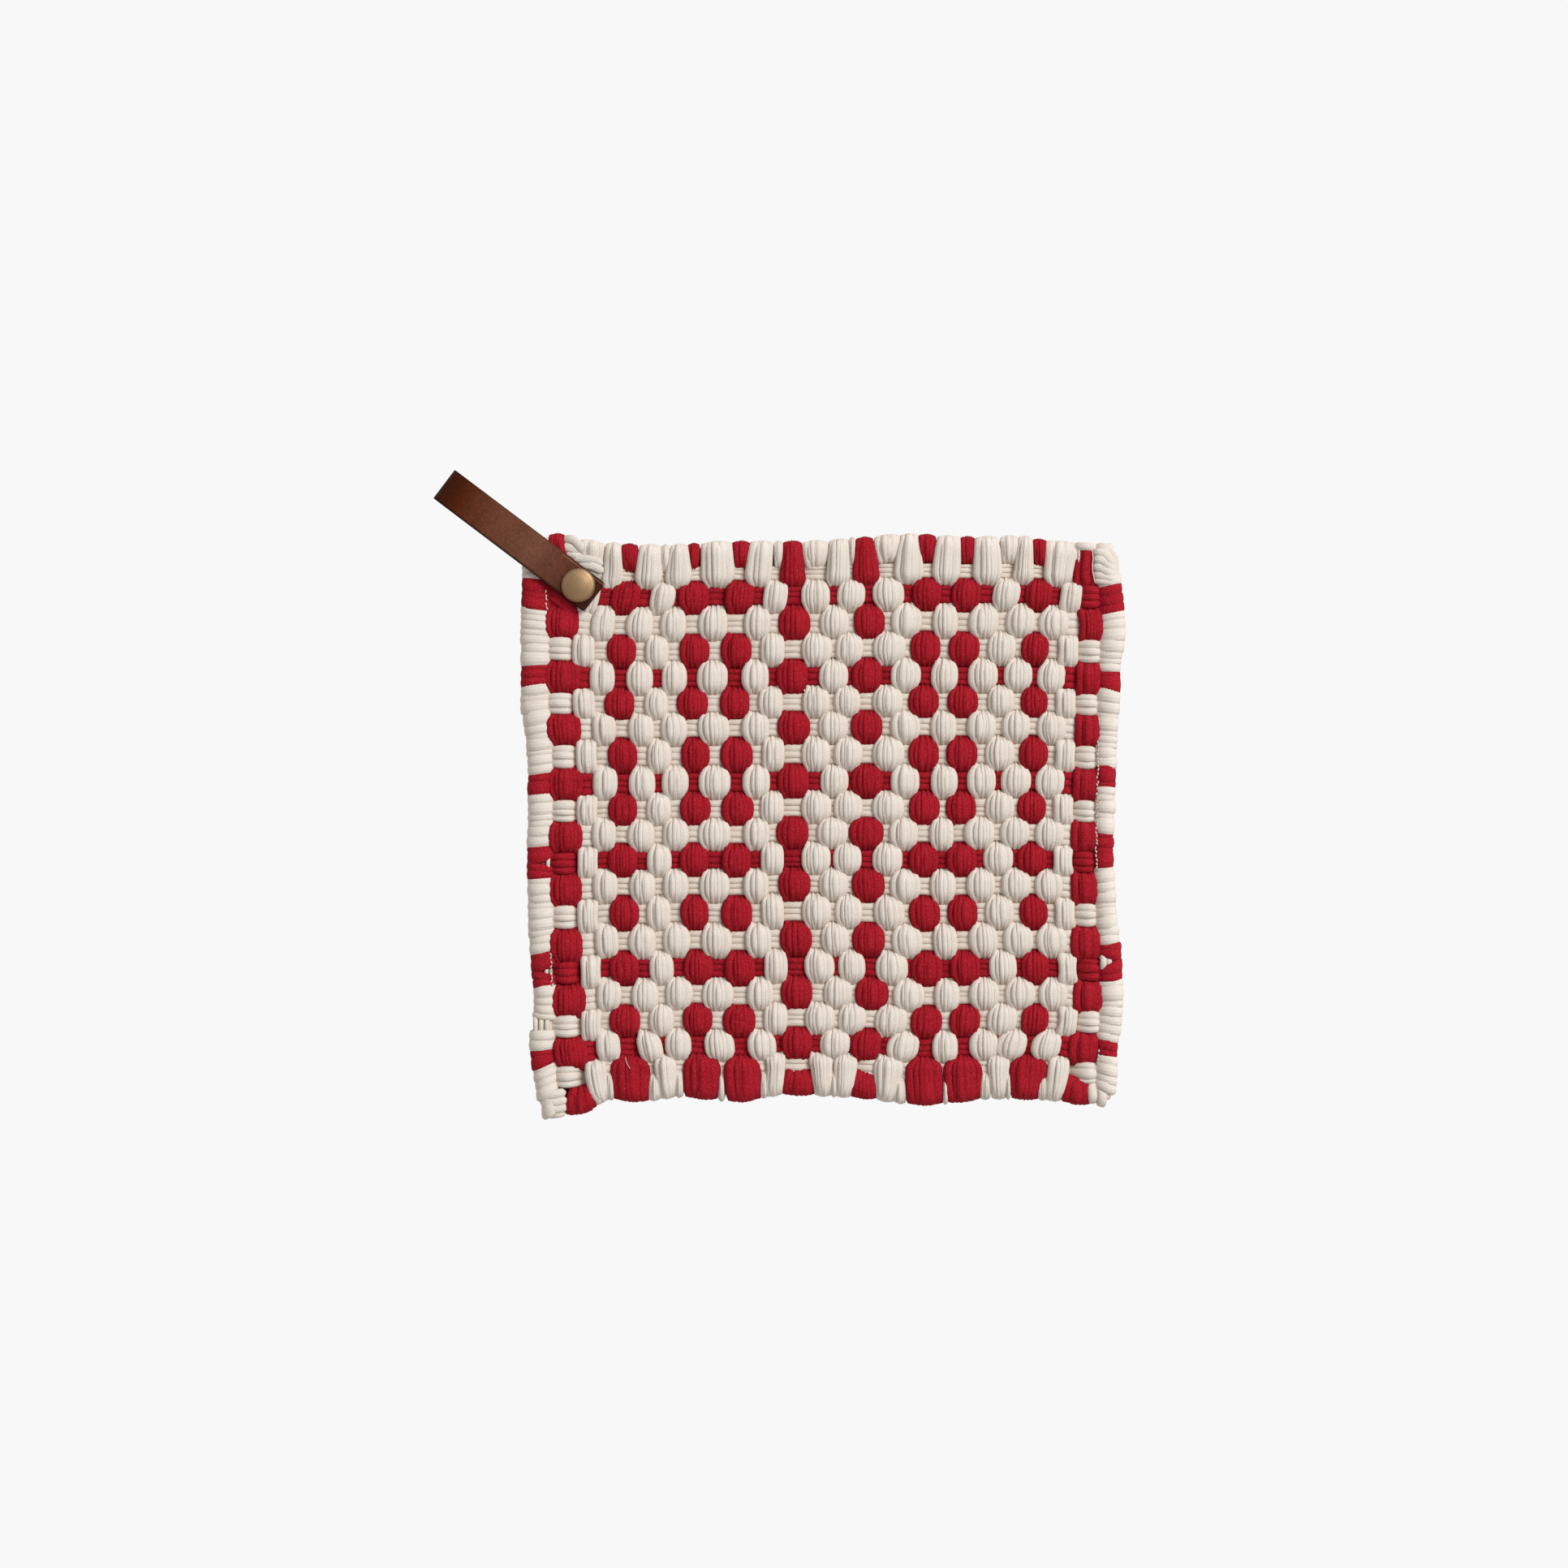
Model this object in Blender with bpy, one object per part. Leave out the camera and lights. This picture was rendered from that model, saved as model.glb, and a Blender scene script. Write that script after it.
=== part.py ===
"""A woven cotton pot holder that lies on its back, with a leather loop riveted through one corner.

The sizes below are millimetres, and the finished meshes are metres, with +Z up. Places on the mat are
measured from the rivet: x to the right, and y towards the edge that is next to the loop. The model stands
on z = 0, and its origin is under the middle of its footprint.
"""

import math
from typing import NamedTuple

import bmesh
import bpy
import numpy as np
from mathutils import Vector

MM = 0.001
SURFACE_GAP = 0.3  # between two pieces that touch

# ---------------------------------------------------------------- the weave


class Bundle(NamedTuple):
    """One bundle of strands: its yarn, and where its middle lies across the mat."""

    yarn: str
    at: float


WARPS = tuple(
    Bundle(*row)
    for row in (
        ("red", -4.8),
        ("cream", 2.4),
        ("cream", 9.2),
        ("red", 15.3),
        ("cream", 21.8),
        ("cream", 27.6),
        ("cream", 33.2),
        ("red", 40.0),
        ("cream", 46.7),
        ("red", 54.5),
        ("cream", 61.5),
        ("cream", 66.8),
        ("red", 74.1),
        ("cream", 81.7),
        ("cream", 87.8),
        ("cream", 92.9),
        ("red", 99.3),
        ("cream", 106.6),
        ("cream", 112.5),
        ("red", 118.9),
        ("cream", 125.6),
        ("red", 132.1),
        ("cream", 138.8),
        ("cream", 145.0),
        ("cream", 150.8),
        ("red", 156.4),
        ("cream", 162.3),
        ("cream", 167.2),
        ("red", 173.7),
    )
)
WEFTS = tuple(
    Bundle(*row)
    for row in (
        ("cream", 4.7),
        ("red", -3.2),
        ("cream", -13.0),
        ("cream", -22.2),
        ("red", -31.4),
        ("cream", -40.4),
        ("cream", -48.8),
        ("cream", -58.3),
        ("red", -67.6),
        ("cream", -76.8),
        ("cream", -85.5),
        ("red", -94.2),
        ("cream", -103.1),
        ("cream", -112.4),
        ("cream", -121.9),
        ("red", -131.1),
        ("cream", -140.1),
        ("cream", -149.0),
        ("red", -158.0),
        ("cream", -168.1),
    )
)

# The mat's uneven outline, as (place along the side, place of the side).
LEFT_SIDE = (
    (-174.5, -14.4),
    (-157.7, -16.9),
    (-142.3, -15.5),
    (-119.9, -17.2),
    (-94.7, -17.7),
    (-65.3, -17.7),
    (-49.9, -18.8),
    (-40.1, -20.2),
    (-19.1, -20.2),
    (8.9, -19.7),
)
RIGHT_SIDE = (
    (-171.7, 185.6),
    (-161.9, 185.6),
    (-145.1, 187.8),
    (-131.1, 187.5),
    (-111.5, 185.3),
    (-90.5, 184.2),
    (-77.9, 184.7),
    (-49.9, 185.8),
    (-27.5, 187.2),
    (-14.9, 188.6),
    (-2.3, 187.5),
    (10.3, 185.6),
)
TOP_SIDE = (
    (-14.9, 16.9),
    (-6.5, 17.4),
    (8.9, 14.5),
    (29.9, 13.6),
    (52.3, 15.0),
    (76.1, 15.0),
    (97.1, 16.2),
    (113.9, 17.3),
    (136.3, 16.4),
    (151.7, 16.7),
    (161.5, 15.3),
    (176.9, 13.9),
)
BOTTOM_SIDE = (
    (-6.5, -182.9),
    (1.9, -181.2),
    (10.3, -176.8),
    (21.5, -177.6),
    (34.1, -175.9),
    (55.1, -177.6),
    (70.5, -175.1),
    (92.9, -175.9),
    (119.5, -178.7),
    (144.7, -176.5),
    (161.5, -177.0),
    (174.1, -178.7),
    (181.1, -179.6),
)
STRAIGHT_LEFT = -17.7
STRAIGHT_RIGHT = 184.7
STRAIGHT_TOP = 15.4
STRAIGHT_BOTTOM = -177.0
BUNDLES_FOLLOW = 0.5  # the share of a side's unevenness that the bundles beside it follow
CORNER_CUT = 2.2  # how far each corner of the outline is drawn in

# Heights above and below the middle of the cloth.
KNOT = 4.6  # the flat top of a warp that passes over a weft
WINDOW = 1.8  # a weft that shows between two knots
KNOT_FLAT_ACROSS = 0.3  # half of a knot's flat top, as a share of the distance to the next warp
KNOT_FLAT_ALONG = 0.28  # the same along the warp
GROOVE = 1.5  # the sewn line inside a selvedge
GROOVE_FROM_WARP = 6.0
SELVEDGE_SHOULDER_IN = 1.0  # from the outline to the steep shoulder of the rounded selvedge
SELVEDGE_CREST_IN = 4.2  # and to its crest
SELVEDGE_OVER = 4.0  # crest height where the weft comes over to this face
SELVEDGE_UNDER = 3.5
SHOULDER_SHARE = 0.68  # the shoulder's height as a share of the crest's
HEM_CREST_IN = 1.8  # from the outline to where the warps turn over at the top and the bottom
HEM_OVER = 3.6
HEM_UNDER = 2.9

# ---------------------------------------------------------------- the loop and its rivet

LOOP_WIDTH = 12.3
LEATHER = 1.5
LOOP_HALF = LEATHER / 2
LOOP_TURN = math.radians(142.9)  # the way that the loop leaves the rivet
LOOP_NEAR_END = -6.3  # along the loop from the rivet
LOOP_FAR_END = 58.5
FOLD_RADIUS = 4.0  # outside of the fold
FOLD_AT = LOOP_FAR_END - FOLD_RADIUS
LEG_STEPS = 26
FOLD_STEPS = 10
LOOP_CHAMFER = 0.35
LOOP_CORNER = 1.1  # length of the cut corners of the strap's two ends
LOOP_CORNER_IN = 0.7  # and their width

CAP_DIAMETER = 11.8
CAP_RIM = 0.7
CAP_DOME = 1.5
CAP_EDGE = 0.25
BACK_DIAMETER = 10.6
BACK_THICK = 1.3
BACK_EDGE = 0.3
POST_DIAMETER = 3.0
HOLE_DIAMETER = 3.6
TURNED_STEPS = 40
HOLE_SIDES = 20
SHARP_FROM = math.radians(35)

LOWER_LEG_RAISED = BACK_THICK + SURFACE_GAP + LOOP_HALF

# The middle of the leather along each leg, as (distance from the rivet, height).
UPPER_LEG = (
    (LOOP_NEAR_END, 8.5),
    (0.0, 8.45),
    (8.0, 8.75),
    (18.0, 9.3),
    (25.0, 9.45),
    (32.0, 9.1),
    (41.0, 8.2),
    (48.0, 7.55),
    (FOLD_AT, 2 * FOLD_RADIUS - LOOP_HALF),
)
LOWER_LEG = (
    (LOOP_NEAR_END, LOWER_LEG_RAISED),
    (5.0, LOWER_LEG_RAISED),
    (10.0, 1.55),
    (16.0, LOOP_HALF),
    (30.0, LOOP_HALF),
    (FOLD_AT, LOOP_HALF),
)
PRESS_MARGIN = 2.0  # the mat is pressed flat this far outside the strap
PRESS_FADE = 9.0  # and has its full thickness this much further out


def curve_through(points, at):
    """A smooth curve through (place, height) points, read at each place in at, and level past its ends.

    A cubic joins each two points. Its slope at a point is the harmonic mean of the slopes on both sides,
    or none where those have opposite signs, so the curve never swings past its points.
    """
    place, height = np.array(points, dtype=float).T
    chord = np.diff(height) / np.diff(place)
    before, after = chord[:-1], chord[1:]
    same_way = before * after > 0
    mean = 2 * before * after / np.where(same_way, before + after, 1)
    slope = np.concatenate([chord[:1], np.where(same_way, mean, 0), chord[-1:]])
    at = np.clip(at, place[0], place[-1])
    first = np.clip(np.searchsorted(place, at) - 1, 0, len(place) - 2)
    step = place[first + 1] - place[first]
    t = (at - place[first]) / step
    return (
        (1 + 2 * t) * (1 - t) ** 2 * height[first]
        + t * (1 - t) ** 2 * step * slope[first]
        + t * t * (3 - 2 * t) * height[first + 1]
        + t * t * (t - 1) * step * slope[first + 1]
    )


def smooth_step(t):
    t = np.clip(t, 0, 1)
    return t * t * (3 - 2 * t)


def principled(name, colour, roughness, metallic=0.0):
    material = bpy.data.materials.new(name)
    material.use_nodes = True
    shader = material.node_tree.nodes["Principled BSDF"]
    shader.inputs["Base Color"].default_value = (*colour, 1)
    shader.inputs["Roughness"].default_value = roughness
    shader.inputs["Metallic"].default_value = metallic
    material.diffuse_color = (*colour, 1)
    return material


def new_object(name, mesh, *materials):
    piece = bpy.data.objects.new(name, mesh)
    bpy.context.collection.objects.link(piece)
    for material in materials:
        mesh.materials.append(material)
    return piece


# ---------------------------------------------------------------- the mat


def press(x, y):
    """How far the mat is pressed between the loop's legs, from 0 to 1, and the place along the loop."""
    along = x * math.cos(LOOP_TURN) + y * math.sin(LOOP_TURN)
    across = np.abs(y * math.cos(LOOP_TURN) - x * math.sin(LOOP_TURN))
    beside = (across - LOOP_WIDTH / 2 - PRESS_MARGIN) / PRESS_FADE
    behind = (LOOP_NEAR_END - PRESS_MARGIN - along) / PRESS_FADE
    outside = np.hypot(np.maximum(beside, 0), np.maximum(behind, 0))
    return 1 - smooth_step(outside), along


def mat_height(x, y, level):
    """The height of a point of the cloth at level above its middle, thinner between the loop's legs."""
    pressed, along = press(x, y)
    lowest = curve_through(LOWER_LEG, along) + LOOP_HALF + SURFACE_GAP
    highest = curve_through(UPPER_LEG, along) - LOOP_HALF - SURFACE_GAP
    middle = KNOT + pressed * ((lowest + highest) / 2 - KNOT)
    share = 1 + pressed * ((highest - lowest) / (2 * KNOT) - 1)
    return middle + share * level


def flat_lines(bundles, flat_share):
    """The two grid lines of each bundle, one on each side of its middle, and the bundle that each is on."""
    at = np.array([bundle.at for bundle in bundles])
    step = np.diff(at)
    before = np.concatenate([step[:1], step])
    after = np.concatenate([step, step[-1:]])
    lines = np.stack([at - flat_share * before, at + flat_share * after], axis=1)
    return lines.reshape(-1), np.repeat(np.arange(len(bundles)), 2)


def mat_grid():
    """The grid lines of the mat: their places across and along it, and the bundle that each is on.

    Four lines stand outside the warps on each side, for the outline, the shoulder, the crest and the
    groove of the selvedge, and two stand outside the wefts, for the outline and the crest of the hem.
    """
    across, warp = flat_lines(WARPS, KNOT_FLAT_ACROSS)
    along, weft = flat_lines(WEFTS, KNOT_FLAT_ALONG)
    selvedge = np.array([0, SELVEDGE_SHOULDER_IN, SELVEDGE_CREST_IN])
    hem = np.array([0, HEM_CREST_IN])
    left = [*(STRAIGHT_LEFT + selvedge), WARPS[0].at - GROOVE_FROM_WARP]
    right = [WARPS[-1].at + GROOVE_FROM_WARP, *(STRAIGHT_RIGHT - selvedge[::-1])]
    across = np.concatenate([left, across, right])
    along = np.concatenate([STRAIGHT_TOP - hem, along, STRAIGHT_BOTTOM + hem[::-1]])
    warp = np.pad(warp, len(left), mode="edge")
    weft = np.pad(weft, len(hem), mode="edge")
    return across, along, warp, weft


def mat_places(across, along):
    """Each grid point's x and y: the outline follows the sides, and the bundles follow them in part."""
    straight_x, straight_y = np.meshgrid(across, along)
    left = curve_through(LEFT_SIDE, straight_y) - STRAIGHT_LEFT
    right = curve_through(RIGHT_SIDE, straight_y) - STRAIGHT_RIGHT
    top = curve_through(TOP_SIDE, straight_x) - STRAIGHT_TOP
    bottom = curve_through(BOTTOM_SIDE, straight_x) - STRAIGHT_BOTTOM
    to_right = (straight_x - STRAIGHT_LEFT) / (STRAIGHT_RIGHT - STRAIGHT_LEFT)
    to_top = (straight_y - STRAIGHT_BOTTOM) / (STRAIGHT_TOP - STRAIGHT_BOTTOM)
    follow_x = np.full(len(across), BUNDLES_FOLLOW)
    follow_x[[0, 1, 2, -3, -2, -1]] = 1
    follow_y = np.full((len(along), 1), BUNDLES_FOLLOW)
    follow_y[[0, 1, -2, -1]] = 1
    x = straight_x + follow_x * (left * (1 - to_right) + right * to_right)
    y = straight_y + follow_y * (bottom * (1 - to_top) + top * to_top)
    x[[0, 0, -1, -1], [0, -1, 0, -1]] += CORNER_CUT * np.array([1, -1, 1, -1])
    y[[0, 0, -1, -1], [0, -1, 0, -1]] += CORNER_CUT * np.array([-1, -1, 1, 1])
    return x, y


def face_levels(warp, weft, parity):
    """One face's height above the middle of the cloth at each grid point.

    A warp passes over a weft on this face where the sum of their numbers has this parity.
    """
    over = (warp[None, :] + weft[:, None]) % 2 == parity
    level = np.where(over, KNOT, WINDOW)
    for hem in (1, -2):
        level[hem] = np.where(over[hem], HEM_OVER, HEM_UNDER)
    for groove, crest, shoulder in ((3, 2, 1), (-4, -3, -2)):
        level[:, groove] = GROOVE
        level[:, crest] = np.where(over[:, crest], SELVEDGE_UNDER, SELVEDGE_OVER)
        level[:, shoulder] = SHOULDER_SHARE * level[:, crest]
    level[[0, -1]] = 0
    level[:, [0, -1]] = 0
    return level, over


def face_triangles(level, number):
    """Two triangles for each cell of the grid, split along the lower diagonal so that knots stand apart."""
    corners = [number[:-1, :-1], number[:-1, 1:], number[1:, 1:], number[1:, :-1]]
    heights = [level[:-1, :-1], level[:-1, 1:], level[1:, 1:], level[1:, :-1]]
    a, b, c, d = (corner.reshape(-1) for corner in corners)
    first_lower = (heights[0] + heights[2] <= heights[1] + heights[3]).reshape(-1, 1)
    one = np.where(first_lower, np.stack([a, c, b], axis=1), np.stack([b, a, d], axis=1))
    two = np.where(first_lower, np.stack([a, d, c], axis=1), np.stack([b, d, c], axis=1))
    return np.stack([one, two], axis=1).reshape(-1, 3)


def cell_yarns(warp, weft, over):
    """Whether each cell is red: a cell that touches a knot has its warp's yarn, any other its weft's."""
    warp_red = np.array([WARPS[w].yarn == "red" for w in warp])
    weft_red = np.array([WEFTS[w].yarn == "red" for w in weft])
    red = np.where(over, warp_red[None, :], weft_red[:, None])
    red[:, :4] = weft_red[:, None]
    red[:, -4:] = weft_red[:, None]
    knots = np.stack([over[:-1, :-1], over[:-1, 1:], over[1:, 1:], over[1:, :-1]])
    reds = np.stack([red[:-1, :-1], red[:-1, 1:], red[1:, 1:], red[1:, :-1]])
    return np.where(knots.any(axis=0), (knots & reds).any(axis=0), reds[0])


def make_mat(cream, red, hole):
    across, along, warp, weft = mat_grid()
    x, y = mat_places(across, along)
    front_level, front_over = face_levels(warp, weft, 0)
    back_level, back_over = face_levels(warp, weft, 1)
    front = np.stack([x, y, mat_height(x, y, front_level)], axis=2)
    back = np.stack([x, y, mat_height(x, y, -back_level)], axis=2)
    rows, columns = x.shape
    inner = np.zeros((rows, columns), dtype=bool)
    inner[1:-1, 1:-1] = True
    front_number = np.arange(rows * columns).reshape(rows, columns)
    back_number = front_number.copy()
    back_number[inner] = rows * columns + np.arange(inner.sum())
    points = np.concatenate([front.reshape(-1, 3), back[inner]])
    front_faces = face_triangles(front_level, front_number)
    back_faces = face_triangles(back_level, back_number)[:, ::-1]
    mesh = bpy.data.meshes.new("woven_mat")
    mesh.from_pydata((points * MM).tolist(), [], np.concatenate([front_faces, back_faces]).tolist())
    yarns = [cell_yarns(warp, weft, over).reshape(-1) for over in (front_over, back_over)]
    mesh.polygons.foreach_set("material_index", np.repeat(np.concatenate(yarns), 2).astype(np.int32))
    mat = new_object("woven_mat", mesh, cream, red)
    cut(mat, hole)
    return mat


# ---------------------------------------------------------------- the loop


def loop_path():
    """The middle of the leather from the end of the upper leg, round the fold, to the end of the lower."""
    upper_along = np.linspace(LOOP_NEAR_END, FOLD_AT, LEG_STEPS)
    turn = np.linspace(math.pi / 2, -math.pi / 2, FOLD_STEPS + 1)[1:-1]
    radius = FOLD_RADIUS - LOOP_HALF
    fold = np.stack([FOLD_AT + radius * np.cos(turn), FOLD_RADIUS + radius * np.sin(turn)], axis=1)
    upper = np.stack([upper_along, curve_through(UPPER_LEG, upper_along)], axis=1)
    lower = np.stack([upper_along, curve_through(LOWER_LEG, upper_along)], axis=1)[::-1]
    return np.concatenate([upper, fold, lower])


def strap_section(width):
    """The eight corners of the strap's section, as (across, off the middle), with its edges cut back."""
    half = width / 2
    side = LOOP_HALF - LOOP_CHAMFER
    return np.array(
        [
            (-half + LOOP_CHAMFER, LOOP_HALF),
            (half - LOOP_CHAMFER, LOOP_HALF),
            (half, side),
            (half, -side),
            (half - LOOP_CHAMFER, -LOOP_HALF),
            (-half + LOOP_CHAMFER, -LOOP_HALF),
            (-half, -side),
            (-half, side),
        ]
    )


def make_loop(leather, hole):
    """The strap's section carried along the loop, narrower at its first and last step."""
    path = loop_path()
    first, last = path[1] - path[0], path[-2] - path[-1]
    corner_start = path[0] + first * LOOP_CORNER / np.linalg.norm(first)
    corner_end = path[-1] + last * LOOP_CORNER / np.linalg.norm(last)
    path = np.concatenate([path[:1], [corner_start], path[1:-1], [corner_end], path[-1:]])
    run = np.gradient(path, axis=0)
    run /= np.linalg.norm(run, axis=1)[:, None]
    off = np.stack([-run[:, 1], run[:, 0]], axis=1)
    bm = bmesh.new()
    rings = []
    for index, (middle, away) in enumerate(zip(path, off)):
        cut_end = index in (0, len(path) - 1)
        section = strap_section(LOOP_WIDTH - 2 * LOOP_CORNER_IN if cut_end else LOOP_WIDTH)
        rings.append(
            [
                bm.verts.new(Vector((middle[0] + away[0] * lift, side, middle[1] + away[1] * lift)) * MM)
                for side, lift in section
            ]
        )
    for one, two in zip(rings, rings[1:]):
        for corner in range(len(one)):
            following = (corner + 1) % len(one)
            bm.faces.new((one[corner], one[following], two[following], two[corner]))
    bm.faces.new(rings[0][::-1])
    bm.faces.new(rings[-1])
    bmesh.ops.recalc_face_normals(bm, faces=bm.faces)
    mesh = bpy.data.meshes.new("leather_loop")
    bm.to_mesh(mesh)
    bm.free()
    loop = new_object("leather_loop", mesh, leather)
    loop.rotation_euler.z = LOOP_TURN
    cut(loop, hole)
    return loop


# ---------------------------------------------------------------- the rivet


def turned(name, profile, material):
    """A profile of (radius, height) corners turned about the upright axis through the rivet."""
    bm = bmesh.new()
    verts = [bm.verts.new(Vector((radius, 0, height)) * MM) for radius, height in profile]
    edges = [bm.edges.new(pair) for pair in zip(verts, verts[1:])]
    bmesh.ops.spin(
        bm, geom=verts + edges, axis=(0, 0, 1), cent=(0, 0, 0), steps=TURNED_STEPS, angle=math.tau, use_merge=True
    )
    bmesh.ops.remove_doubles(bm, verts=bm.verts, dist=1e-6)
    bmesh.ops.recalc_face_normals(bm, faces=bm.faces)
    mesh = bpy.data.meshes.new(name)
    bm.to_mesh(mesh)
    bm.free()
    mesh.shade_smooth()
    mesh.set_sharp_from_angle(angle=SHARP_FROM)
    return new_object(name, mesh, material)


def dome(radius, rim_top, rise, steps=7):
    """The corners of a low dome from its middle to the top of its rim, part of a circle."""
    ball = (radius**2 + rise**2) / (2 * rise)
    lean = np.linspace(0, math.asin(radius / ball), steps)
    heights = rim_top + rise - ball * (1 - np.cos(lean))
    return list(zip(ball * np.sin(lean), heights))


def make_rivet_cap(brass):
    under = curve_through(UPPER_LEG, 0) + LOOP_HALF + SURFACE_GAP
    radius = CAP_DIAMETER / 2
    post = POST_DIAMETER / 2
    post_end = BACK_THICK + SURFACE_GAP
    profile = dome(radius - CAP_EDGE, under + CAP_RIM, CAP_DOME)
    profile += [(radius, under + CAP_RIM - CAP_EDGE), (radius, under + CAP_EDGE), (radius - CAP_EDGE, under)]
    profile += [(post, under), (post, post_end), (0, post_end)]
    return turned("rivet_cap", profile, brass)


def make_rivet_back(brass):
    radius = BACK_DIAMETER / 2
    profile = [(0, BACK_THICK), (radius - 2 * BACK_EDGE, BACK_THICK), (radius, BACK_THICK - BACK_EDGE)]
    profile += [(radius, BACK_EDGE), (radius - BACK_EDGE, 0), (0, 0)]
    return turned("rivet_back", profile, brass)


def make_post_hole():
    """The cutter of the hole that the rivet's post passes through."""
    mesh = bpy.data.meshes.new("post_hole")
    bm = bmesh.new()
    radius = HOLE_DIAMETER / 2 * MM
    bmesh.ops.create_cone(
        bm, cap_ends=True, segments=HOLE_SIDES, radius1=radius, radius2=radius, depth=4 * KNOT * MM
    )
    bm.to_mesh(mesh)
    bm.free()
    hole = new_object("post_hole", mesh)
    hole.location.z = KNOT * MM
    hole.hide_render = True
    hole.display_type = "WIRE"
    return hole


def cut(piece, cutter):
    boolean = piece.modifiers.new("hole", "BOOLEAN")
    boolean.object = cutter


# ---------------------------------------------------------------- the pot holder


def footprint_middle(pieces):
    """The middle of the pieces' shared box, as their modifiers leave them."""
    bpy.context.view_layer.update()
    depsgraph = bpy.context.evaluated_depsgraph_get()
    corners = []
    for piece in pieces:
        mesh = piece.evaluated_get(depsgraph).to_mesh()
        corners += [piece.matrix_world @ vertex.co for vertex in mesh.vertices]
    places = np.array(corners)
    return (places.min(axis=0) + places.max(axis=0)) / 2


for leftover in list(bpy.data.objects):
    bpy.data.objects.remove(leftover)

cream_yarn = principled("cream_cotton", (0.74, 0.68, 0.6), 0.9)
red_yarn = principled("red_cotton", (0.39, 0.01, 0.03), 0.9)
brown_leather = principled("brown_leather", (0.13, 0.055, 0.035), 0.55)
antique_brass = principled("antique_brass", (0.5, 0.37, 0.2), 0.45, 1.0)

post_hole = make_post_hole()
parts = [
    make_mat(cream_yarn, red_yarn, post_hole),
    make_loop(brown_leather, post_hole),
    make_rivet_cap(antique_brass),
    make_rivet_back(antique_brass),
]
middle_x, middle_y, _ = footprint_middle(parts)
pot_holder = bpy.data.objects.new("pot_holder", None)
bpy.context.collection.objects.link(pot_holder)
for part in [*parts, post_hole]:
    part.parent = pot_holder
pot_holder.location = (-middle_x, -middle_y, 0)
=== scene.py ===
"""The finished look of a woven cotton pot holder with a leather loop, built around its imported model.

Lengths in this script are millimetres unless their name ends in _M, and every finished mesh is in metres.
Places on the mat are measured from the rivet, x to the right and y towards the edge next to the loop.
"""

import math
from typing import NamedTuple

import bpy
import numpy as np
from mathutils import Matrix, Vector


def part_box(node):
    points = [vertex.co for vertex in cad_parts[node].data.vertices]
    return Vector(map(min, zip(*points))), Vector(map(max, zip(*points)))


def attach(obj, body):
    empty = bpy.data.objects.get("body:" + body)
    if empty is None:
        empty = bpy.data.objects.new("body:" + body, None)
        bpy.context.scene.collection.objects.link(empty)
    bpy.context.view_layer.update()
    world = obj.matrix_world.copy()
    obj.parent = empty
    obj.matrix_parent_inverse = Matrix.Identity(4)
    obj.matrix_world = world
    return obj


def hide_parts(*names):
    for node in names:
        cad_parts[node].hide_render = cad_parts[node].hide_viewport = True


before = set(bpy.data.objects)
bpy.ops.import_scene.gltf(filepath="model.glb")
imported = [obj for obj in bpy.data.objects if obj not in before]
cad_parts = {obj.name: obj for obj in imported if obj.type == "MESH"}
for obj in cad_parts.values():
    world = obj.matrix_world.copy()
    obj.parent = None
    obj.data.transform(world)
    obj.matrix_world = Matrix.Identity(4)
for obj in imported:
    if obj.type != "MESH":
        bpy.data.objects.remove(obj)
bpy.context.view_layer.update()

# ======================================================================= the warps
# Twenty-nine bundles of soft cotton strands run up and down the mat. Each passes over one weft and under
# the next, so it shows as a row of round knots: spread and high over a weft, drawn in where it dives. At
# the two hems it turns round the edge and its end is tucked in on the other face.

MM = 0.001
BODY = "root"


class Bundle(NamedTuple):
    """A warp or a weft: its yarn, where its middle lies, and the width of its knots or of its strands."""

    yarn: str
    at: float
    wide: float


class Hem(NamedTuple):
    """A warp's place and width at the edge of a hem, and the same over or under the first weft."""

    edge_at: float
    edge_wide: float
    knot_at: float
    knot_wide: float


class Surface(NamedTuple):
    """A closed surface: points, faces of four and three corners, each corner's UV, and a shade per point."""

    points: np.ndarray
    quads: np.ndarray
    tris: np.ndarray
    uv: np.ndarray
    shade: np.ndarray


WARPS = [
    Bundle(*row)
    for row in (
        ("red", -4.8, 12.8), ("cream", 2.4, 8.2), ("cream", 9.2, 8.6), ("red", 15.3, 10.6),
        ("cream", 21.8, 9.3), ("cream", 27.6, 8.7), ("cream", 33.2, 9.2), ("red", 40.0, 10.6),
        ("cream", 46.7, 11.0), ("red", 54.5, 10.9), ("cream", 61.5, 9.6), ("cream", 66.8, 8.4),
        ("red", 74.1, 11.4), ("cream", 81.7, 10.4), ("cream", 87.8, 10.4), ("cream", 92.9, 10.0),
        ("red", 99.3, 11.4), ("cream", 106.6, 11.2), ("cream", 112.5, 10.8), ("red", 118.9, 10.9),
        ("cream", 125.6, 9.0), ("red", 132.1, 10.9), ("cream", 138.8, 10.5), ("cream", 145.0, 10.2),
        ("cream", 150.8, 10.5), ("red", 156.4, 10.1), ("cream", 162.3, 10.4), ("cream", 167.2, 7.4),
        ("red", 175.2, 8.2),
    )
]
WEFTS = [
    Bundle(*row)
    for row in (
        ("cream", 4.7, 5.0), ("red", -3.2, 6.6), ("cream", -13.0, 6.8), ("cream", -21.9, 6.6),
        ("red", -31.4, 6.6), ("cream", -40.4, 6.2), ("cream", -48.8, 6.3), ("cream", -58.3, 6.8),
        ("red", -67.6, 6.6), ("cream", -76.8, 6.4), ("cream", -85.5, 6.2), ("red", -94.5, 6.2),
        ("cream", -103.4, 6.4), ("cream", -112.8, 6.7), ("cream", -122.4, 6.7), ("red", -131.8, 6.5),
        ("cream", -141.0, 6.4), ("cream", -149.8, 6.4), ("red", -158.7, 6.6), ("cream", -166.9, 6.4),
    )
]
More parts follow.
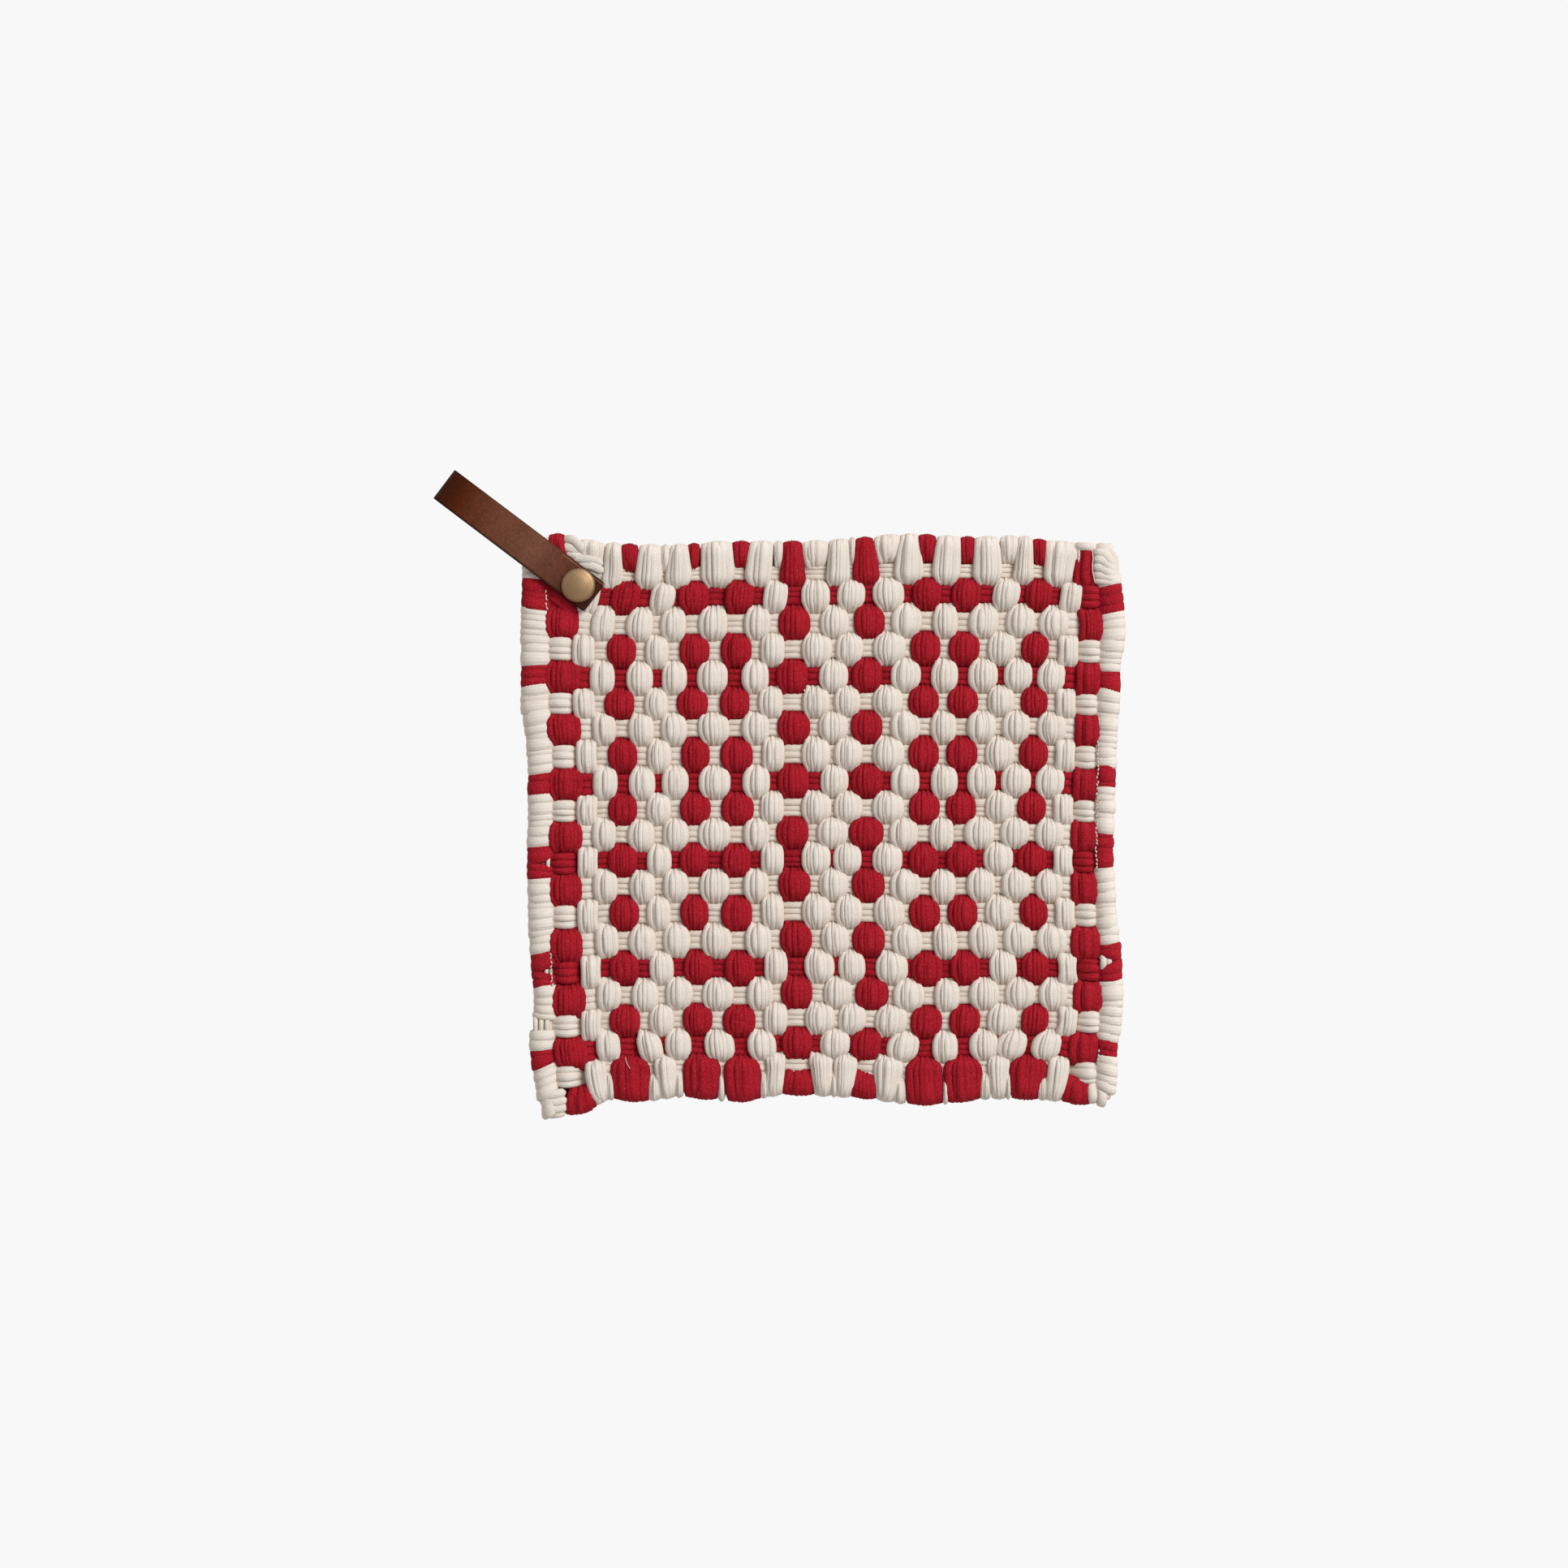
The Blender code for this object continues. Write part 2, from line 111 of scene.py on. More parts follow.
TOP_HEM = [
    Hem(*row)
    for row in (
        (-7.4, 5.6, -6.0, 9.0), (4.7, 8.4, 4.7, 8.2), (12.2, 5.6, 12.0, 7.3), (17.7, 5.6, 17.7, 10.6),
        (24.8, 7.6, 24.3, 9.5), (29.9, 2.8, 29.9, 8.7), (34.4, 6.3, 34.1, 9.2), (39.5, 4.2, 39.5, 10.6),
        (47.5, 10.9, 47.8, 12.0), (56.2, 6.2, 56.2, 10.9), (63.3, 8.1, 62.2, 9.5), (68.9, 3.1, 68.9, 8.4),
        (73.8, 6.4, 73.8, 8.7), (81.5, 9.2, 81.5, 9.9), (89.8, 6.7, 89.5, 8.1), (94.4, 2.4, 94.4, 8.9),
        (98.6, 6.2, 99.0, 9.5), (106.6, 9.5, 106.6, 10.4), (114.3, 6.2, 113.9, 10.1),
        (120.3, 6.2, 120.3, 10.6), (127.6, 8.4, 126.8, 10.1), (134.3, 5.0, 134.3, 10.5),
        (141.0, 8.4, 141.3, 10.6), (148.6, 6.2, 148.6, 10.2), (154.3, 5.0, 153.6, 7.0),
        (159.4, 5.3, 159.4, 9.7), (166.8, 12.4, 165.4, 10.4), (172.2, 2.4, 170.8, 6.8),
        (175.3, 6.0, 174.3, 8.0),
    )
]
BOTTOM_HEM = [
    Hem(*row)
    for row in (
        (1.6, 11.8, -1.7, 11.2), (8.0, 5.3, 6.1, 7.6), (11.0, 2.5, 11.0, 8.6), (18.3, 12.3, 17.8, 14.3),
        (26.2, 4.2, 26.2, 9.3), (30.7, 5.3, 29.9, 7.8), (34.6, 2.8, 34.6, 9.2), (42.2, 11.5, 42.2, 13.4),
        (49.2, 2.2, 49.2, 11.0), (57.0, 11.8, 56.5, 13.4), (64.0, 2.5, 64.0, 9.6), (67.3, 5.9, 68.0, 6.4),
        (75.8, 11.2, 75.8, 10.5), (84.2, 6.2, 83.6, 7.8), (88.0, 2.0, 88.0, 9.2), (91.2, 6.2, 91.8, 8.1),
        (98.5, 9.2, 98.5, 10.4), (105.8, 6.7, 106.6, 10.6), (110.9, 4.2, 110.9, 9.8),
        (119.5, 12.6, 118.9, 13.4), (126.5, 1.7, 126.5, 9.0), (132.9, 11.5, 132.5, 13.7),
        (140.5, 3.6, 140.5, 9.9), (145.0, 5.3, 144.7, 7.8), (148.2, 1.7, 148.2, 9.5),
        (154.2, 9.5, 155.0, 13.2), (160.1, 3.4, 160.1, 9.5), (164.0, 5.6, 165.4, 7.6),
        (171.6, 9.8, 173.6, 10.2),
    )
]

# The mat's uneven outline, as (place along the side, place of the side).
LEFT_SIDE = np.transpose(
    (
        (-182.0, -11.8), (-174.5, -14.4), (-157.7, -16.9), (-142.3, -15.5), (-119.9, -17.2), (-94.7, -17.7),
        (-65.3, -17.7), (-49.9, -18.8), (-40.1, -20.2), (-19.1, -20.2), (8.9, -19.7),
    )
)
RIGHT_SIDE = np.transpose(
    (
        (-179.0, 182.4), (-171.7, 185.6), (-161.9, 185.6), (-145.1, 187.8), (-131.1, 187.5),
        (-111.5, 185.3), (-90.5, 184.2), (-77.9, 184.7), (-49.9, 185.8), (-27.5, 187.2), (-14.9, 188.6),
        (-2.3, 187.5), (7.5, 186.0), (13.6, 183.4),
    )
)
TOP_SIDE = np.transpose(
    (
        (-14.9, 16.9), (-6.5, 17.4), (8.9, 14.5), (29.9, 13.6), (52.3, 15.0), (76.1, 15.0), (97.1, 16.2),
        (113.9, 17.3), (136.3, 16.4), (151.7, 16.7), (161.5, 15.3), (176.9, 13.9),
    )
)
BOTTOM_SIDE = np.transpose(
    (
        (-6.5, -182.9), (1.9, -181.2), (10.3, -176.8), (21.5, -177.6), (34.1, -175.9), (55.1, -177.6),
        (70.5, -175.1), (92.9, -175.9), (119.5, -178.7), (144.7, -176.5), (161.5, -177.0), (174.1, -178.7),
        (181.1, -179.6),
    )
)
STRAIGHT_LEFT = -17.7
STRAIGHT_RIGHT = 184.7
STRAIGHT_TOP = 15.4
STRAIGHT_BOTTOM = -177.0
BUNDLES_FOLLOW = 0.5  # the share of a side's unevenness that the bundles beside it follow
# Three bundles by the selvedges change towards the bottom: (how far they go over, share of their width).
DRIFTS = {1: (1.3, 0.78), 27: (0.3, 0.85), 28: (-1.6, 1.38)}

HALF_THICK = 4.6  # half of the mat's thickness at a knot
KNOT_LIFT = 3.35  # the middle of a strand over a weft, above the middle of the cloth
KNOT_CROWN = 1.9  # how much lower a knot's outermost edge lies than its middle
KNOT_ASIDE = 0.3  # how far a knot may lie beside its bundle's line
KNOT_SIZES = (0.94, 1.03)  # a knot's width, as a share of its bundle's
KNOT_FULLNESS = 2.6  # how long a knot keeps its width before it is drawn in
OUTERMOST_FULLNESS = 4.5  # the same at the outermost warps
DIVE_FILL = 1.05  # a bundle's width where it dives, as a share of its room between its neighbours
OUTERMOST_DIVE = 1.15  # how much wider than that an outermost bundle dives
DIVE_STAGGER = 0.35  # how far a bundle's strands lie above or below it in turn where it dives
BUNDLE_DRIFT = 0.03  # how much a bundle's width changes along it
HEM_PULL = 0.6  # how far the second knot goes over to the place of the first
HEM_ROUND = 0.6  # how much sooner a bundle's outermost edge turns round the hem than its middle
HEM_FILL = 1.08  # a bundle's real width round a hem, as a share of what shows of it
HEM_OVERLAP = 0.3  # how much wider a strand is where it turns round a hem
TUCKED_SHORT_OF_WEFT = 1.6  # how far a tucked end stays from the middle of the first weft
STEPS_PER_ROW = 10
TURN_STEPS = 20
# Where a bundle turns round a hem: (inside the outline, height on its own face, how far it has gone from
# its knot's place and width to the hem's, share of the hem's width).
HEM_TURN = np.transpose(
    (
        (4.4, 3.3, 0.5, 1.0),
        (2.5, 2.75, 0.8, 1.0),
        (1.35, 1.45, 0.97, 1.0),
        (1.05, 0.0, 1.0, 1.0),
        (1.4, -1.35, 1.0, 1.0),
        (2.6, -2.3, 1.0, 0.98),
        (4.6, -2.45, 1.0, 0.92),
        (6.2, -1.75, 1.0, 0.84),
        (7.4, -0.3, 1.0, 0.78),
        (8.2, 1.1, 1.0, 0.75),
    )
)

STRAND_WIDE = 1.8  # about how wide a strand lies in a knot
STRAND_SIZES = (0.7, 1.3)  # the strands' shares of a bundle, before they are made to fill it
OUTER_STRAND = 1.5  # an outermost strand's share, compared with an inner one's
STRAND_DRIFT = 0.2  # how much a strand's share changes along it
STRAND_OVERLAP = (1.4, 1.8)  # how far each strand is wider than its own share of the bundle
STRAND_LIMITS = (0.5, 2.8)  # the least and the most half width of a strand
STRAND_SUNK = 0.15  # how much lower a strand lies on its face than its bundle's middle line
STRAND_UNEVEN = 0.22  # how far it lies above or below that at random
PARTING_WIDE = 0.05  # how wide the one or two partings of a bundle are, as a share of it
PARTING_OPEN = 0.6  # the mean share of that, and how much it changes along the bundle
PARTING_DRIFT = 0.4
STRAND_HALF_THICK = 1.3
WIDE_IS_THICK = 0.2  # how far a strand's thickness follows its width
DIVE_HALF_THICK = 2.1  # a strand's half thickness where it dives
SQUARENESS = 0.75  # the power of a strand's round section: 1 is an ellipse, less is fuller
END_SIZES = (0.5, 0.88, 0.88, 0.5)  # the sizes of a strand's first two and last two sections
POLE_OUT = 0.35  # how far its rounded ends stand out, as a share of its half thickness

# The loop that presses the mat's corner: (distance from the rivet, height of the middle of the leather).
LOOP_WIDTH = 12.3
LOOP_HALF = 0.75
LOOP_TURN = math.radians(142.9)
LOOP_NEAR_END = -7.0
FOLD_RADIUS = 4.0
FOLD_AT = 54.5
LOWER_LEG_RAISED = 2.35
UPPER_LEG = np.transpose(
    (
        (LOOP_NEAR_END, 8.5),
        (0.0, 8.45),
        (8.0, 8.75),
        (18.0, 9.3),
        (25.0, 9.45),
        (32.0, 9.1),
        (41.0, 8.2),
        (48.0, 7.55),
        (FOLD_AT, 2 * FOLD_RADIUS - LOOP_HALF),
    )
)
LOWER_LEG = np.transpose(
    (
        (LOOP_NEAR_END, LOWER_LEG_RAISED),
        (5.0, LOWER_LEG_RAISED),
        (10.0, 1.55),
        (16.0, LOOP_HALF),
        (30.0, LOOP_HALF),
        (FOLD_AT, LOOP_HALF),
    )
)
LEATHER_GAP = 0.3  # between the leather and the cloth
PRESS_MARGIN = 2.0  # how far outside the strap the cloth is still fully pressed
PRESS_FADE = 9.0

RIVET_M = np.array([*np.mean(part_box("rivet_cap"), axis=0)[:2], 0.0])


def curve_through(place, height, at):
    """A smooth curve through points of these places and heights, read at each place in at.

    A cubic joins each two points. Its slope at a point is the harmonic mean of the slopes on both sides,
    or none where those have opposite signs, so the curve never swings past its points. It is level past
    its ends.
    """
    chord = np.diff(height) / np.diff(place)
    before, after = chord[:-1], chord[1:]
    same_way = before * after > 0
    mean = 2 * before * after / np.where(same_way, before + after, 1)
    slope = np.concatenate([chord[:1], np.where(same_way, mean, 0), chord[-1:]])
    at = np.clip(at, place[0], place[-1])
    first = np.clip(np.searchsorted(place, at) - 1, 0, len(place) - 2)
    step = place[first + 1] - place[first]
    t = (at - place[first]) / step
    return (
        (1 + 2 * t) * (1 - t) ** 2 * height[first]
        + t * (1 - t) ** 2 * step * slope[first]
        + t * t * (3 - 2 * t) * height[first + 1]
        + t * t * (t - 1) * step * slope[first + 1]
    )


def length_along(*axes):
    """How far along a line of points each of them lies."""
    return np.append(0.0, np.cumsum(np.linalg.norm(np.diff(axes), axis=0)))


def smooth_step(t):
    """Three times t squared less twice t cubed, level at 0 and at 1."""
    t = np.clip(t, 0, 1)
    return t * t * (3 - 2 * t)


def mat_place(x, y):
    """A bundle's real place from its straight one: it follows half of the unevenness of the sides."""
    to_right = (x - STRAIGHT_LEFT) / (STRAIGHT_RIGHT - STRAIGHT_LEFT)
    to_top = (y - STRAIGHT_BOTTOM) / (STRAIGHT_TOP - STRAIGHT_BOTTOM)
    left = curve_through(*LEFT_SIDE, y) - STRAIGHT_LEFT
    right = curve_through(*RIGHT_SIDE, y) - STRAIGHT_RIGHT
    top = curve_through(*TOP_SIDE, x) - STRAIGHT_TOP
    bottom = curve_through(*BOTTOM_SIDE, x) - STRAIGHT_BOTTOM
    return (
        x + BUNDLES_FOLLOW * (left * (1 - to_right) + right * to_right),
        y + BUNDLES_FOLLOW * (bottom * (1 - to_top) + top * to_top),
    )


def pressed_height(points):
    """Heights of points given from the middle of the cloth, which is thinner between the loop's legs.

    Its share of the full thickness, and its middle, go smoothly from the open cloth's to what the legs
    leave between them, over PRESS_FADE outside the strap.
    """
    x, y, level = np.moveaxis(points, -1, 0)
    along = x * math.cos(LOOP_TURN) + y * math.sin(LOOP_TURN)
    across = np.abs(y * math.cos(LOOP_TURN) - x * math.sin(LOOP_TURN))
    beside = (across - LOOP_WIDTH / 2 - PRESS_MARGIN) / PRESS_FADE
    behind = (LOOP_NEAR_END - PRESS_MARGIN - along) / PRESS_FADE
    pressed = 1 - smooth_step(np.hypot(np.maximum(beside, 0), np.maximum(behind, 0)))
    lowest = curve_through(*LOWER_LEG, along) + LOOP_HALF + LEATHER_GAP
    highest = curve_through(*UPPER_LEG, along) - LOOP_HALF - LEATHER_GAP
    middle = HALF_THICK + pressed * ((lowest + highest) / 2 - HALF_THICK)
    share = 1 + pressed * ((highest - lowest) / (2 * HALF_THICK) - 1)
    return middle + share * np.clip(level, -HALF_THICK, HALF_THICK)


def wander(rng, count, at, size):
    """Smooth random offsets up to size: a random value at each whole number, joined by smooth steps."""
    last = int(np.ceil(at.max())) + 2
    values = rng.uniform(-size, size, (count, last))
    whole = np.floor(at).astype(int)
    share = smooth_step(at - whole)
    return values[:, whole] * (1 - share) + values[:, whole + 1] * share


def closed_tubes(rings, poles, uv, pole_uv, shade):
    """Tubes through rings of points, each closed at both ends by a fan of triangles on a pole.

    rings is (tube, ring, point, 3) and poles (tube, 2, 3). uv is (tube, ring, point + 1, 2), because the
    first point of a ring has another UV after one turn. pole_uv is spread over (tube, 2, point, 2), because
    a pole has a UV in each triangle of its fan.
    """
    tubes, steps, sides, _ = rings.shape
    number = np.arange(tubes * steps * sides).reshape(tubes, steps, sides)
    turned = np.roll(number, -1, axis=2)
    pole = number.size + np.arange(tubes * 2).reshape(tubes, 2, 1) + 0 * number[:, :1]
    quads = np.stack([number[:, :-1], number[:, 1:], turned[:, 1:], turned[:, :-1]], axis=-1)
    first = np.stack([pole[:, 0], number[:, 0], turned[:, 0]], axis=-1)
    last = np.stack([pole[:, 1], turned[:, -1], number[:, -1]], axis=-1)
    here, there = uv[:, :, :-1], uv[:, :, 1:]
    pole_uv = np.broadcast_to(pole_uv, (tubes, 2, sides, 2))
    quad_uv = np.stack([here[:, :-1], here[:, 1:], there[:, 1:], there[:, :-1]], axis=-2)
    first_uv = np.stack([pole_uv[:, 0], here[:, 0], there[:, 0]], axis=-2)
    last_uv = np.stack([pole_uv[:, 1], there[:, -1], here[:, -1]], axis=-2)
    return Surface(
        np.concatenate([rings.reshape(-1, 3), poles.reshape(-1, 3)]),
        quads.reshape(-1, 4),
        np.concatenate([first.reshape(-1, 3), last.reshape(-1, 3)]),
        np.concatenate([corners.reshape(-1, 2) for corners in (quad_uv, first_uv, last_uv)]),
        shade,
    )


def strand_surface(middle, across, half_wide, half_thick, sides=8):
    """Closed strands round their middle lines, shaded where they lie against their neighbours.

    At angle a a section's corner is half_wide cos(a)^SQUARENESS across and half_thick sin(a)^SQUARENESS
    outward, with the signs kept, and its shade is cos(a)^2. The UV is the way round the strand and the
    millimetres along it.
    """
    strands, steps, _ = middle.shape
    run = np.gradient(middle, axis=1)
    step_long = np.linalg.norm(run, axis=2)
    run /= step_long[..., None]
    across = np.broadcast_to(across, run.shape)
    side = across - run * (run * across).sum(axis=2)[..., None]
    side /= np.linalg.norm(side, axis=2)[..., None]
    out = np.cross(side, run)
    size = np.ones(steps)
    size[[0, 1, -2, -1]] = END_SIZES
    angle = np.arange(sides) * math.tau / sides
    wide, high = (np.sign(way) * np.abs(way) ** SQUARENESS for way in (np.cos(angle), np.sin(angle)))
    reach = (half_wide * size)[..., None, None] * wide[:, None] * side[:, :, None, :]
    rise = (half_thick * size)[..., None, None] * high[:, None] * out[:, :, None, :]
    pole_out = POLE_OUT * half_thick[:, [0, -1], None] * run[:, [0, -1]] * np.array([[-1], [1]])
    along = np.cumsum(step_long, axis=1)[..., None]
    uv = np.stack(np.broadcast_arrays(np.arange(sides + 1) / sides, along), axis=-1)
    # Painted shade: full on a strand's sides and its ends, none on its top.
    shade = np.append(np.tile(np.cos(angle) ** 2, strands * steps), np.ones(strands * 2))
    rings = middle[:, :, None, :] + reach + rise
    return closed_tubes(rings, middle[:, [0, -1]] + pole_out, uv, uv[:, [0, -1], :-1], shade)


# Painted shade: how far a strand's colour goes towards its shaded colour in grooves and low in the cloth.
GROOVE_SHADE = 0.27  # how far a strand is shaded where its neighbours lie against it
DEPTH_SHADE = 0.3  # how far it is shaded at the middle of the cloth
OPEN_HEIGHT = 3.6  # how far from there it gets all the light


def on_the_cloth(surface):
    """A surface with its heights, given from the middle of the cloth, made real ones.

    Its shade becomes GROOVE_SHADE times what it was, and DEPTH_SHADE times the smooth step of how far below
    OPEN_HEIGHT it lies, on either face.
    """
    sunk = smooth_step(1 - np.abs(surface.points[:, 2]) / OPEN_HEIGHT)
    points = np.column_stack([surface.points[:, :2], pressed_height(surface.points)])
    return surface._replace(points=points, shade=GROOVE_SHADE * surface.shade + DEPTH_SHADE * sunk)


def joined(surfaces):
    """Several surfaces as one: their points and faces in turn, with the faces numbered on."""
    starts = np.cumsum([0] + [len(surface.points) for surface in surfaces])
    quad_uv = [surface.uv[: surface.quads.size] for surface in surfaces]
    tri_uv = [surface.uv[surface.quads.size :] for surface in surfaces]
    return Surface(
        np.concatenate([surface.points for surface in surfaces]),
        np.concatenate([surface.quads + start for surface, start in zip(surfaces, starts)]),
        np.concatenate([surface.tris + start for surface, start in zip(surfaces, starts)]),
        np.concatenate(quad_uv + tri_uv),
        np.concatenate([surface.shade for surface in surfaces]),
    )


def new_object(name, data):
    """A new object with this mesh, light or camera in the scene."""
    added = bpy.data.objects.new(name, data)
    bpy.context.collection.objects.link(added)
    return added


def new_piece(name, surface, material):
    """A smooth piece of the pot holder from a surface in millimetres from the rivet."""
    points, quads, tris, uv, shade = surface
    mesh = bpy.data.meshes.new(name)
    mesh.vertices.add(len(points))
    mesh.vertices.foreach_set("co", (points * MM + RIVET_M).astype(np.float32).reshape(-1))
    mesh.loops.add(quads.size + tris.size)
    mesh.loops.foreach_set("vertex_index", np.append(quads, tris))
    mesh.polygons.add(len(quads) + len(tris))
    tri_starts = quads.size + 3 * np.arange(len(tris))
    mesh.polygons.foreach_set("loop_start", np.append(4 * np.arange(len(quads)), tri_starts))
    mesh.update(calc_edges=True)
    mesh.uv_layers.new(name="UVMap").data.foreach_set("uv", uv.astype(np.float32).reshape(-1))
    mesh.attributes.new("shade", "FLOAT", "POINT").data.foreach_set("value", shade.astype(np.float32))
    mesh.shade_smooth()
    mesh.materials.append(material)
    return new_object(name, mesh)


def along_hem(inner, edge, way):
    """A bundle's turn round a hem at even steps, from the middle of the first weft.

    It gives y and the height on its own face, and then HEM_TURN's last two columns.
    """
    depth = abs(edge - inner)
    inside, height, gone_over, wide = HEM_TURN
    inside = inside * np.minimum(1, (depth - TUCKED_SHORT_OF_WEFT) / inside[-1])
    out, height = np.append(0.0, depth - inside), np.append(KNOT_LIFT, height)
    gone = length_along(out, height)
    at = np.linspace(0, gone[-1], TURN_STEPS + 1)[1:]
    columns = (inner + way * out, height, np.append(0.0, gone_over), np.append(1.0, wide))
    return [curve_through(gone, column, at) for column in columns]


def warp_line(index, rng):
    """The middle of a warp bundle from the tucked end at the top hem to the one at the bottom.

    It gives rows of x, y, height, width and the place counted in wefts, and then how far each point has
    gone over to the top hem and to the bottom one. With c the cosine of half a turn for each weft and
    r = c (3 - c^2) / 2, the height is KNOT_LIFT times r (5 - r^2) / 4. The square of the width goes from
    the knot's to the dive's with (1 - c^2)^KNOT_FULLNESS, which makes each knot nearly round.
    """
    warp = WARPS[index]
    hems = (TOP_HEM[index], BOTTOM_HEM[index])
    rows = np.arange(len(WEFTS))
    row_x, row_y = mat_place(np.full(len(rows), warp.at), np.array([weft.at for weft in WEFTS]))
    row_x = row_x + rng.uniform(-KNOT_ASIDE, KNOT_ASIDE, len(rows))
    drift, widened = DRIFTS.get(index, (0.0, 1.0))
    row_x += drift * rows / rows[-1]
    row_wide = warp.wide * rng.uniform(*KNOT_SIZES, len(rows)) * (1 + (widened - 1) * rows / rows[-1])
    for first, second, hem in ((0, 1, hems[0]), (-1, -2, hems[1])):
        row_x[first] = hem.knot_at
        row_wide[first] = hem.knot_wide
        row_x[second] += HEM_PULL * (row_x[first] - row_x[second])
    at = np.linspace(0, len(WEFTS) - 1, STEPS_PER_ROW * (len(WEFTS) - 1) + 1)
    x, y, knot = (curve_through(rows, values, at) for values in (row_x, row_y, row_wide))
    room = [abs(WARPS[i].at - warp.at) for i in (index - 1, index + 1) if 0 <= i < len(WARPS)]
    dive = DIVE_FILL * (sum(room) / len(room) + max(room)) / 2
    fullness = KNOT_FULLNESS
    if len(room) == 1:
        fullness = OUTERMOST_FULLNESS
        dive *= OUTERMOST_DIVE
    beat = np.cos(math.pi * (at + index))
    risen = beat * (3 - beat**2) / 2
    height = KNOT_LIFT * risen * (5 - risen**2) / 4
    wide = np.sqrt(knot**2 - (knot**2 - dive**2) * (1 - beat**2) ** fullness)

    turns, over_hem = [], []
    for row, hem, side, way in ((0, hems[0], TOP_SIDE, 1), (-1, hems[1], BOTTOM_SIDE, -1)):
        face = 1 if (index + rows[row]) % 2 == 0 else -1
        edge = curve_through(*side, hem.edge_at)
        hem_y, hem_height, over, hem_wide = along_hem(row_y[row], edge, way)
        hem_x = row_x[row] + (hem.edge_at - row_x[row]) * over
        hem_wide = row_wide[row] + (hem.edge_wide * HEM_FILL * hem_wide - row_wide[row]) * over
        turns.append(np.stack([hem_x, hem_y, face * hem_height, hem_wide, 0 * hem_x + at[row]]))
        over_hem.append(over)
    line = np.stack([x, y, height, wide, at])
    elsewhere = np.zeros(len(at) + TURN_STEPS)
    return (
        np.concatenate([turns[0][:, ::-1], line, turns[1]], axis=1),
        np.append(over_hem[0][::-1], elsewhere),
        np.append(elsewhere, over_hem[1]),
    )


def warp_strands(index, rng):
    """The strands of one warp bundle.

    They share its width, less one or two partings whose width wanders along it, and the outermost ones end
    at its edge. Round a hem each follows the outline where it lies itself. Where the bundle dives they are
    thick, and lie a little above and below each other in turn.
    """
    line, at_top, at_bottom = warp_line(index, rng)
    x, y, height, wide, at = line
    count = round(WARPS[index].wide / STRAND_WIDE)
    part = rng.uniform(*STRAND_SIZES, count)
    part[[0, -1]] *= OUTER_STRAND
    part = part[:, None] * (1 + wander(rng, count, at, STRAND_DRIFT))
    parting = np.zeros(count)
    parting[rng.permutation(count - 1)[: rng.integers(1, 3)]] = PARTING_WIDE * count
    parting = parting[:, None] * (PARTING_OPEN + wander(rng, count, at, PARTING_DRIFT))
    taken = (part + parting).sum(axis=0)
    part, parting = part / taken, parting / taken
    share = 2 * (np.cumsum(part + parting, axis=0) - parting - part / 2) - 1
    overlap = rng.uniform(*STRAND_OVERLAP, count)[:, None]
    overlap = overlap * (1 + HEM_OVERLAP * np.maximum(at_top, at_bottom))
    half = wide / 2 * (1 + wander(rng, 1, at, BUNDLE_DRIFT)[0])
    half_wide = np.clip(part * half * overlap, *STRAND_LIMITS)
    outermost = half_wide[[0, -1]].mean(axis=0)
    offset = share * (half - outermost) / np.abs(share[[0, -1]]).mean(axis=0)
    face = np.clip(height / KNOT_LIFT, -1, 1)
    dives = 1 - np.abs(face)
    sunk = KNOT_CROWN * share**2 + STRAND_SUNK + wander(rng, count, at, STRAND_UNEVEN)
    in_turn = np.where(np.arange(count) % 2 == 0, 1, -1)[:, None]
    level = height - sunk * face + DIVE_STAGGER * in_turn * dives
    hems = ((at_top, TOP_SIDE, TOP_HEM, 1), (at_bottom, BOTTOM_SIDE, BOTTOM_HEM, -1))
    for over, side, hem, way in hems:
        beside = curve_through(*side, x + offset) - curve_through(*side, hem[index].edge_at)
        y = y + over * (beside - way * HEM_ROUND * share**2)
    middle = np.stack([x + offset, y, level], axis=2)
    half_thick = STRAND_HALF_THICK * (1 + WIDE_IS_THICK * (part * count - 1))
    half_thick = half_thick + (DIVE_HALF_THICK - half_thick) * dives
    return on_the_cloth(strand_surface(middle, (1.0, 0.0, 0.0), half_wide, half_thick))


def feed(tree, socket, value):
    """Sets an input to a value, or links it to another node's output."""
    if isinstance(value, bpy.types.NodeSocket):
        tree.links.new(value, socket)
    else:
        socket.default_value = value


def shader_node(tree, kind, inputs=None, **settings):
    """A node with its settings made and its inputs set to values or linked from sockets."""
    node = tree.nodes.new(kind)
    for setting, value in settings.items():
        setattr(node, setting, value)
    for name, value in (inputs or {}).items():
        feed(tree, node.inputs[name], value)
    return node


def maths(tree, operation, *values):
    """The output of a maths node of these values or sockets."""
    node = shader_node(tree, "ShaderNodeMath", operation=operation)
    for socket, value in zip(node.inputs, values):
        feed(tree, socket, value)
    return node.outputs[0]


def gained(tree, value, low, gain):
    """What a value has above low, times gain."""
    return maths(tree, "MULTIPLY", maths(tree, "SUBTRACT", value, low), gain)


def blended(tree, share, low, high):
    """A colour that goes from low to high with share."""
    mix = shader_node(tree, "ShaderNodeMix", data_type="RGBA", clamp_factor=True)
    for name, value in (("Factor_Float", share), ("A_Color", low), ("B_Color", high)):
        feed(tree, next(socket for socket in mix.inputs if socket.identifier == name), value)
    return next(socket for socket in mix.outputs if socket.identifier == "Result_Color")


def texture(tree, kind, output, **inputs):
    """The output of a texture laid out in the object's own place."""
    place = shader_node(tree, "ShaderNodeTexCoord").outputs["Object"]
    return shader_node(tree, f"ShaderNodeTex{kind}", {"Vector": place, **inputs}).outputs[output]


def uv_place(tree):
    """The two numbers of the UV map."""
    place = shader_node(tree, "ShaderNodeTexCoord").outputs["UV"]
    return shader_node(tree, "ShaderNodeSeparateXYZ", {"Vector": place}).outputs[:2]


def new_material(name):
    """A new material, its nodes and its shader."""
    material = bpy.data.materials.new(name)
    material.use_nodes = True
    return material, material.node_tree, material.node_tree.nodes["Principled BSDF"]


